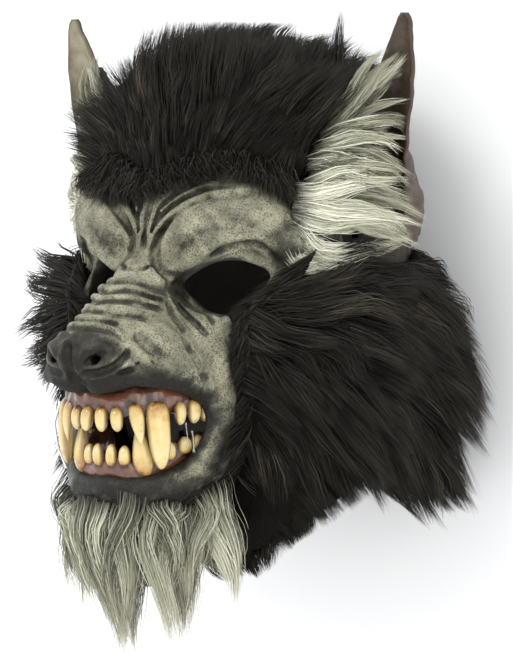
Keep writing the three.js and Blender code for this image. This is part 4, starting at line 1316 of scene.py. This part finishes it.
def crown_length(p):
    turn, tilt, _ = crown_place(p)
    from_hairline = (read(HAIRLINE, turn) - tilt) * smooth(110, 70, turn) + 30 * smooth(70, 110, turn)
    at_top = mix(1, 0.8, smooth(30, 8, tilt))
    far = mix(1, 1.2, smooth(-20, -50, p[..., 0]))
    return mix(12, 47, smooth(0, 24, from_hairline)) * at_top * far * mix(1, 0.7, smooth(75, 105, turn))


def crown_room(p):
    x = p[..., 0]
    shoulders = 0.16 * np.maximum(x, 0) + 0.35 * np.maximum(x - 42, 0) + 0.75 * np.maximum(-28 - x, 0)
    return 123 - p[..., 1] + 3 * np.sin(x * 0.19) - shoulders


def back_flow(p):
    return unit(DOWN + 0.15 * around_head(p))


def no_flare(p):
    return np.zeros(len(p))


RUFF_LENGTH_FRONT = np.array([(-140, 44), (-60, 52), (-10, 48), (12, 42)])
RUFF_LENGTH_SIDE = np.array([(-140, 34), (-95, 42), (-70, 58), (-25, 64), (-5, 50), (12, 32)])


def ruff_length(p):
    turn = cheek_place(p)[0]
    length = mix(read(RUFF_LENGTH_FRONT, p[:, 1]), read(RUFF_LENGTH_SIDE, p[:, 1]), smooth(70, 100, turn))
    return length * mix(0.5, 1, smooth(24, 50, turn))


CROWN = {"length": crown_length, "flow": crown_flow, "lifts": (58, 46, 30), "flare": crown_flare}
RUFF = {"length": ruff_length, "flow": ruff_flow, "lifts": (40, 24, 10), "flare": ruff_flare}
BACK = {"length": ruff_length, "flow": back_flow, "lifts": (40, 24, 10), "flare": no_flare}


def make_coat(name, node, roots, room, width, **habit):
    """A piece of hair, from its roots, the room it keeps to, a hair's width and what coat asks for."""
    paths, tone = coat(roots, **habit)
    paths = trimmed(paths, room)
    obj = hair_mesh(name, paths, width * random.uniform(0.7, 1.3, len(paths)), tone, TAPER)
    finish_piece(obj, BLACK, "black_fur", node)


def out_facing(middle, normal):
    return (slope_of(base_form, middle.astype(np.float32)) * normal).sum(-1) > 0.2


def crown_keep(middle, normal):
    """The crown's hair grows thinner behind the ears."""
    return out_facing(middle, normal) * mix(1, 0.4, smooth(85, 105, crown_place(middle)[0]))


# Fringes: hairs that hang over the edge of the face
BROW_EDGE_NEAR = np.array([(0, 73.5), (4, 73), (7.5, 71), (12, 67.5), (18, 65.5), (24, 64.5), (30, 66.5),
                           (35, 70), (39, 73), (50, 74)])
BROW_EDGE_FAR = np.array([(0, 73.5), (9, 75), (15, 75.5), (26, 72), (36, 70), (50, 72)])


def brow_fringe(count):
    turn = random.uniform(-47, 47, count)
    edge = np.where(turn > 0, read(BROW_EDGE_NEAR, np.abs(turn)), read(BROW_EDGE_FAR, np.abs(turn)))
    start = np.minimum(read(HAIRLINE, np.abs(turn)), edge) - random.uniform(1, 9, count)
    end = edge + random.normal(0.3, 1.5, count)
    tip_turn = turn + random.normal(0, 3.5, count)
    stations = []
    for share, above in ((0, 2.5), (0.3, 9), (0.7, 8.5), (1, 3.5)):
        origin, direction = crown_ray(mix(turn, tip_turn, share), mix(start, end, share))
        r = look_up(CROWN_FACE, TURNS, TILTS, np.abs(turn), mix(start, end, share))
        stations.append(origin + direction * (r + above * random.uniform(0.6, 1.3, count))[:, None])
    fringe_piece("brow_fringe", np.stack(stations, 1), "crown_fur")


FRINGE_EDGE = np.array([(-121, 0), (-112, 13), (-100, 20.5), (-86, 27), (-60, 29.5), (-40, 29), (-24, 27.5),
                        (-19, 31), (-15, 34.5), (-10, 38.5), (-5, 41), (3, 43.5), (10, 45)])


def cheek_fringe(name, side, count, node):
    y = random.uniform(-120, 8, count)
    drop = random.uniform(14, 32, count)
    stations = []
    for share, above in ((0, 2), (0.35, 7), (0.7, 7), (1, 3.5)):
        behind = mix(5, 13, smooth(-24, 6, y))
        below = read(FRINGE_EDGE, y - drop * share)
        turn = np.maximum(below + mix(behind, random.normal(-0.6, 1.4, count), share), 0)
        origin, direction = cheek_ray(turn, y - drop * share)
        r = look_up(CHEEK_FACE, TURNS, HEIGHTS_Y, turn, y - drop * share)
        stations.append(origin + direction * (r + above * random.uniform(0.6, 1.3, count))[:, None])
    fringe_piece(name, np.stack(stations, 1) * (side, 1, 1), node)


SPIKE = [(46, 88, 97), (50, 108, 94), (52, 131, 92)]  # the lock that stands up before the left ear


def crown_spike():
    paths = lock_paths(*np.array(SPIKE, float), 90, 5, 6, 1.5, 0.5, tip_spread=0.08)
    fringe_piece("crown_spike", paths, "crown_fur")


def fringe_piece(name, paths, node):
    tone = np.clip(0.45 + 0.2 * random.normal(size=len(paths)), 0, 1)
    obj = hair_mesh(name, paths, 0.5 * random.uniform(0.7, 1.3, len(paths)), tone, TAPER + (0.5,))
    finish_piece(obj, BLACK, "black_fur", node)


# Grey locks: each is a bent bundle of wavy hairs that draws to a point
def core_piece(name, form, low, high, voxel, node, side=1):
    """Dense under-hair of a beard or tuft; side -1 lays it on the other side of the head."""
    points, quads = surface_of(form, low, high, voxel)
    if side < 0:
        points, quads = mirrored(points), quads[:, ::-1]
    finish_piece(make_mesh(name, points, quads), SHADED_GREY_PELT, "grey_fur", node)


def joined(p, locks):
    """Tapering bars, each of two stops, that melt into one form."""
    d = bar(p, locks[0])
    for lock in locks[1:]:
        d = blend(d, bar(p, lock), 5)
    return d


def curve_points(root, middle, tip, stations):
    t = np.linspace(0, 1, stations)[:, None]
    return (1 - t) ** 2 * root + 2 * t * (1 - t) * middle + t * t * tip


def lock_paths(root, middle, tip, count, stations, radius, wave, turns, tip_spread=0.22):
    """Hairs of one lock round the curve from root to tip."""
    guide = curve_points(root, middle, tip, stations)
    along = unit(np.gradient(guide, axis=0))
    side = unit(np.cross(along, np.array((0.2, 0.1, 1.0))))
    up = np.cross(along, side)
    t = np.linspace(0, 1, stations)
    place = random.normal(size=(count, 2)) * 0.55
    draw = mix(1, tip_spread, t ** 1.2)[None] * radius
    phase = random.uniform(0, 2 * np.pi) + random.normal(0, 0.35, (count, 1))
    sway = wave * np.sin(phase + turns * 2 * np.pi * t[None]) * smooth(0, 0.35, t)[None]
    roll = 0.6 * wave * np.cos(phase * 1.3 + turns * 1.7 * np.pi * t[None]) * smooth(0, 0.35, t)[None]
    stray = random.normal(0, 1, (count, 2, 1)) * (random.random((count, 1, 1)) < 0.08)
    stray = stray * 2.5 * t[None, None] ** 2
    a = place[:, :1] * draw + sway + stray[:, 0]
    b = place[:, 1:] * draw * 0.7 + roll + stray[:, 1]
    paths = guide[None] + a[..., None] * side[None] + b[..., None] * up[None]
    short = random.uniform(0.62, 1.0, count)
    where = short[:, None] * t[None] * (stations - 1)
    low = np.minimum(where.astype(int), stations - 2)
    part = (where - low)[..., None]
    rows = np.arange(count)[:, None]
    return mix(paths[rows, low], paths[rows, low + 1], part)


def grey_piece(name, paths, tones, width, node):
    tone = np.clip(tones, 0, 1)
    taper = np.linspace(1.0, 0.5, paths.shape[1])
    obj = hair_mesh(name, paths, width * random.uniform(0.65, 1.3, len(paths)), tone, taper)
    finish_piece(obj, GREY, "grey_fur", node)


# Tufts from the ear's tip down, each row the root, the bend and the tip of a lock
TUFT = np.array([
    [(63.7, 80, 120), (81, 97, 124), (92.5, 117, 114)], [(63.4, 72, 122), (86, 91, 124), (96, 101, 111)],
    [(62.7, 66.7, 126), (92, 87, 130), (100, 71.5, 108)], [(62.7, 60, 131), (91, 70, 134), (97, 54, 106)],
    [(62, 51, 138), (92, 60, 138), (97, 43, 106)], [(60.5, 42, 146), (88, 52, 142), (98, 34, 104)],
    [(59.6, 36, 150), (90, 36, 143), (100, 19, 95)], [(59.5, 29, 152), (73, 4, 147), (90, 21, 100)],
    [(59, 20, 152), (66, -5, 147), (79, 14, 108)], [(58.8, 14, 151), (64, -2, 147), (73, 11, 116)]], float)
TUFT_LOCKS = 64
NEAR_TUFT_HAIRS, FAR_TUFT_HAIRS = 116, 36


def between(points, t):
    """A place along a row of points, t from 0 to 1."""
    where = np.linspace(0, 1, len(points))
    return np.stack([np.interp(t, where, points[:, k]) for k in range(3)], -1)


def ear_tufts(name, side, hairs, node):
    paths, tones = [], []
    for k in range(TUFT_LOCKS):
        t = np.clip((k + random.uniform(-0.4, 0.4)) / (TUFT_LOCKS - 1), 0, 1) ** 0.8
        deep = random.random() ** 1.4
        root, middle, tip = (between(TUFT[:, j], np.clip(t + random.normal(0, 0.03), 0, 1)) for j in range(3))
        sink = np.array((3, 0, -6)) * deep
        root = root + sink + random.normal(0, 1, 3) + (1, 0, 3)
        middle = middle + sink * 1.6 + random.normal(0, 2, 3)
        tip = mix(root, tip, random.uniform(0.65, 1.08)) + random.normal(0, 2.5, 3) + sink
        count = max(8, int(hairs * FUR_SHARE))
        radius, wave = random.uniform(1.8, 4), random.uniform(1.5, 5)
        paths.append(lock_paths(root, middle, tip, count, 7, radius, wave, random.uniform(0.5, 1.1)))
        bright = mix(0.54, 1.08, smooth(0.3, 0.7, t))
        # locks sunk deeper into the tuft are darker: painted shade under the outer locks
        tones.append(random.normal(bright, 0.2) - 0.5 * deep + random.normal(0, 0.16, count))
    paths = np.concatenate(paths)
    if side < 0:
        paths = mirrored(paths) * (0.96, 1, 1)
    grey_piece(name, paths, np.concatenate(tones), 0.42, node)


# Beard, rooted round the chin
BEARD_TIPS = np.array([(-52, -146, 174), (-38, -153, 198), (-20, -163, 211), (-6, -169, 212), (8, -174, 211),
                       (22, -168, 204), (37, -150, 196), (52, -156, 176)])
# Where several locks meet in one point
BEARD_POINTS = np.array([(-44, -142, 180), (-28, -152, 200), (0, -181, 207), (26, -175, 203), (52, -160, 177)])
CHIN_Z = 167
BEARD_ENDS = 86  # degrees round the chin to each side
BEARD_LOCKS = 66
BEARD_HAIRS = 98  # in a lock


def chin_ray(degrees):
    a = math.radians(degrees)
    return np.array((math.sin(a), 0, math.cos(a)))


def on_chin(degrees, y):
    """A place on the chin's skin below the lower lip."""
    origin = np.array([(0, y, CHIN_Z)], float)
    direction = chin_ray(degrees)
    return origin[0] + direction * (reach(face_form, origin, direction)[0] - 1)


def beard():
    paths, tones = [], []
    for k in range(BEARD_LOCKS):
        layer = k % 3  # 0 outermost
        t = np.clip((k + random.uniform(-0.5, 0.5)) / (BEARD_LOCKS - 1), 0, 1)
        degrees = mix(-1, 1, t) * BEARD_ENDS
        root = on_chin(degrees, random.uniform(-108, -99) - 3 * layer)
        shared = BEARD_POINTS[np.abs(BEARD_POINTS[:, 0] - mix(-52, 52, t)).argmin()]
        tip = mix(between(BEARD_TIPS, t), shared, random.uniform(0.3, 0.9))
        tip = tip * (1 - 0.06 * layer, 1, 1) - (0, 0, 4 * layer)
        tip = mix(root, tip, random.choice((0.6, 0.8, 0.97, 1.03)))
        out = chin_ray(degrees) * random.uniform(7, 13) * mix(0.5, 1, smooth(-60, 0, degrees)) + (0, 3, 0)
        middle = root + out * (1 - 0.25 * layer) + 0.32 * (tip - root) + random.normal(0, 3, 3) * (1, 0, 1)
        count = max(10, int(BEARD_HAIRS * FUR_SHARE))
        bends = random.uniform(0.55, 1.05)
        lock = lock_paths(root, middle, tip, count, 9, 6.0, random.uniform(3, 6), bends, tip_spread=0.16)
        paths.append(lock)
        # inner layers of locks are darker: painted shade under the outer ones
        tones.append(random.normal(0.71, 0.24) - 0.2 * layer + random.normal(0, 0.17, count))
    grey_piece("beard_hair", np.concatenate(paths), np.concatenate(tones), 0.45, "beard_fur")


def beard_core_form(p):
    locks = []
    for t in np.arange(9) / 8:
        root = on_chin(mix(-1, 1, t) * BEARD_ENDS, -108) * (0.86, 1, 1)
        tip = mix(root, between(BEARD_TIPS, t), 0.55) - (0, 0, 7)
        locks.append([(*root, 6), (*tip, 2.5)])
    return np.maximum(joined(p, locks) - 0.8 * wander(p, 10, 51), 0.5 - face_form(p))


def tuft_core_form(p):
    locks = []
    for root, _, tip in TUFT:
        locks.append([(*(root + (3, 0, -7)), 4), (*(mix(root, tip, 0.6) + (0, 0, -4)), 2)])
    return np.maximum(joined(p, locks) - 0.6 * wander(p, 10, 52), 0.5 - face_form(p))


# Strings of clear gel between the lips: (radius, points)
GEL_STRINGS = [
    (0.55, [(-33, -58, 209), (-34.5, -68, 212), (-34, -80, 210), (-31, -90, 207)]),
    (0.35, [(34.5, -70, 196), (35.5, -74, 196), (35, -80, 195)]),
    (0.3, [(33, -66, 199), (34, -72, 199), (33.5, -78, 198)]),
]
GEL_SIDES, GEL_RINGS = 8, 14


def gel_piece():
    """Strings that swell where they hold to the lips."""
    points, faces = [], []
    for radius, stops in GEL_STRINGS:
        line = np.array([between(np.array(stops, float), t) for t in np.linspace(0, 1, GEL_RINGS)])
        swell = radius * mix(1, 2.2, np.abs(np.linspace(-1, 1, GEL_RINGS)) ** 4)
        start = len(points)
        for (x, y, z), r in zip(line, swell):
            points += [(x + r * math.cos(a), y, z + r * math.sin(a)) for a in
                       np.arange(GEL_SIDES) * 2 * math.pi / GEL_SIDES]
        faces += [(start + a, start + d, start + c, start + b)
                  for a, b, c, d in tube_faces(GEL_RINGS, GEL_SIDES)]
    obj = make_mesh("gel_strings", points, faces)
    finish_piece(obj, gel_material(), "denture", "upper_denture")


# The pieces, each in its turn, because they draw on the same seeded numbers
EAR_SKIN = ear_material()
TOOTH = tooth_material()
GUM_FLESH = gum_material()
BLACK = hair_material("black fur", **BLACK_FUR)
GREY = hair_material("grey fur", **GREY_FUR)
BLACK_PELT = pelt_material("black under-fur", srgb(14, 12, 10), srgb(28, 25, 21))
# Hairs in each coat and fringe at full quality
HAIRS = {"crown": 24500, "left": 30000, "right": 13000, "back": 3400, "brow": 4000, "left fringe": 4500,
         "right fringe": 2000}
HAIRS = {name: int(count * FUR_SHARE) for name, count in HAIRS.items()}

make_camera()
make_lights()
latex_face()
latex_hood()
teeth_piece("upper_teeth", UPPER_ARCH, UPPER_TEETH, "upper_denture")
teeth_piece("lower_teeth", LOWER_ARCH, LOWER_TEETH, "lower_denture")
gum_piece("upper_gum", UPPER_ARCH, UPPER_TEETH, upper_gum_y, "upper_denture")
gum_piece("lower_gum", LOWER_ARCH, LOWER_TEETH, lower_gum_y, "lower_denture")
gel_piece()
ear_piece("left_ear_cup", 1, "left_ear")
ear_piece("right_ear_cup", -1, "right_ear")

points, quads = pelt("crown_pelt", crown_pelt_form, (-86, 10, 0), (86, 146, 196), "crown_fur")
roots = scattered(points, quads, HAIRS["crown"], crown_keep)
make_coat("crown_hair", "crown_fur", roots, crown_room, 0.5, per_clump=24, gather=0.5, seed=5, **CROWN)
crown_spike()

points, quads = pelt("left_cheek_pelt", side_pelt_form, (0, -160, 0), (116, 16, 204), "left_cheek_fur")
roots = scattered(points, quads, HAIRS["left"], out_facing)
make_coat("left_cheek_hair", "left_cheek_fur", roots, ruff_room, 0.48, per_clump=42, gather=0.8, seed=6,
          **RUFF)

other = make_mesh("right_cheek_pelt", mirrored(points), quads[:, ::-1])
finish_piece(other, BLACK_PELT, "black_fur", "right_cheek_fur")
roots = mirrored(scattered(points, quads, HAIRS["right"], out_facing))
make_coat("right_cheek_hair", "right_cheek_fur", roots, ruff_room, 0.75, per_clump=20, gather=0.66, seed=7,
          **RUFF)

points, quads = pelt("back_pelt", back_pelt_form, (-60, -110, 0), (60, 16, 40), "back_fur")
roots = scattered(points, quads, HAIRS["back"], out_facing)
make_coat("back_hair", "back_fur", roots, ruff_room, 0.8, per_clump=20, gather=0.7, seed=8, **BACK)

brow_fringe(HAIRS["brow"])
cheek_fringe("left_cheek_fringe", 1, HAIRS["left fringe"], "left_cheek_fur")
cheek_fringe("right_cheek_fringe", -1, HAIRS["right fringe"], "right_cheek_fur")

# the grey under-fur is much darker than the grey hairs: painted shade deep inside the beard and the tufts
SHADED_GREY_PELT = pelt_material("grey under-fur", srgb(40, 37, 31), srgb(66, 62, 52))
core_piece("beard_core", beard_core_form, (-60, -160, 150), (60, -88, 230), 2.0, "beard_fur")
beard()
for name, side, hairs in (("left", 1, NEAR_TUFT_HAIRS), ("right", -1, FAR_TUFT_HAIRS)):
    core_piece(name + "_tuft_core", tuft_core_form, (50, 4, 80), (112, 112, 156), 2.4, name + "_ear_fur",
               side)
    ear_tufts(name + "_ear_tufts", side, hairs, name + "_ear_fur")


def make_floor():
    bpy.ops.mesh.primitive_plane_add(size=6)
    floor = bpy.context.object
    floor.name = "floor"
    floor.data.materials.append(floor_material())


make_floor()
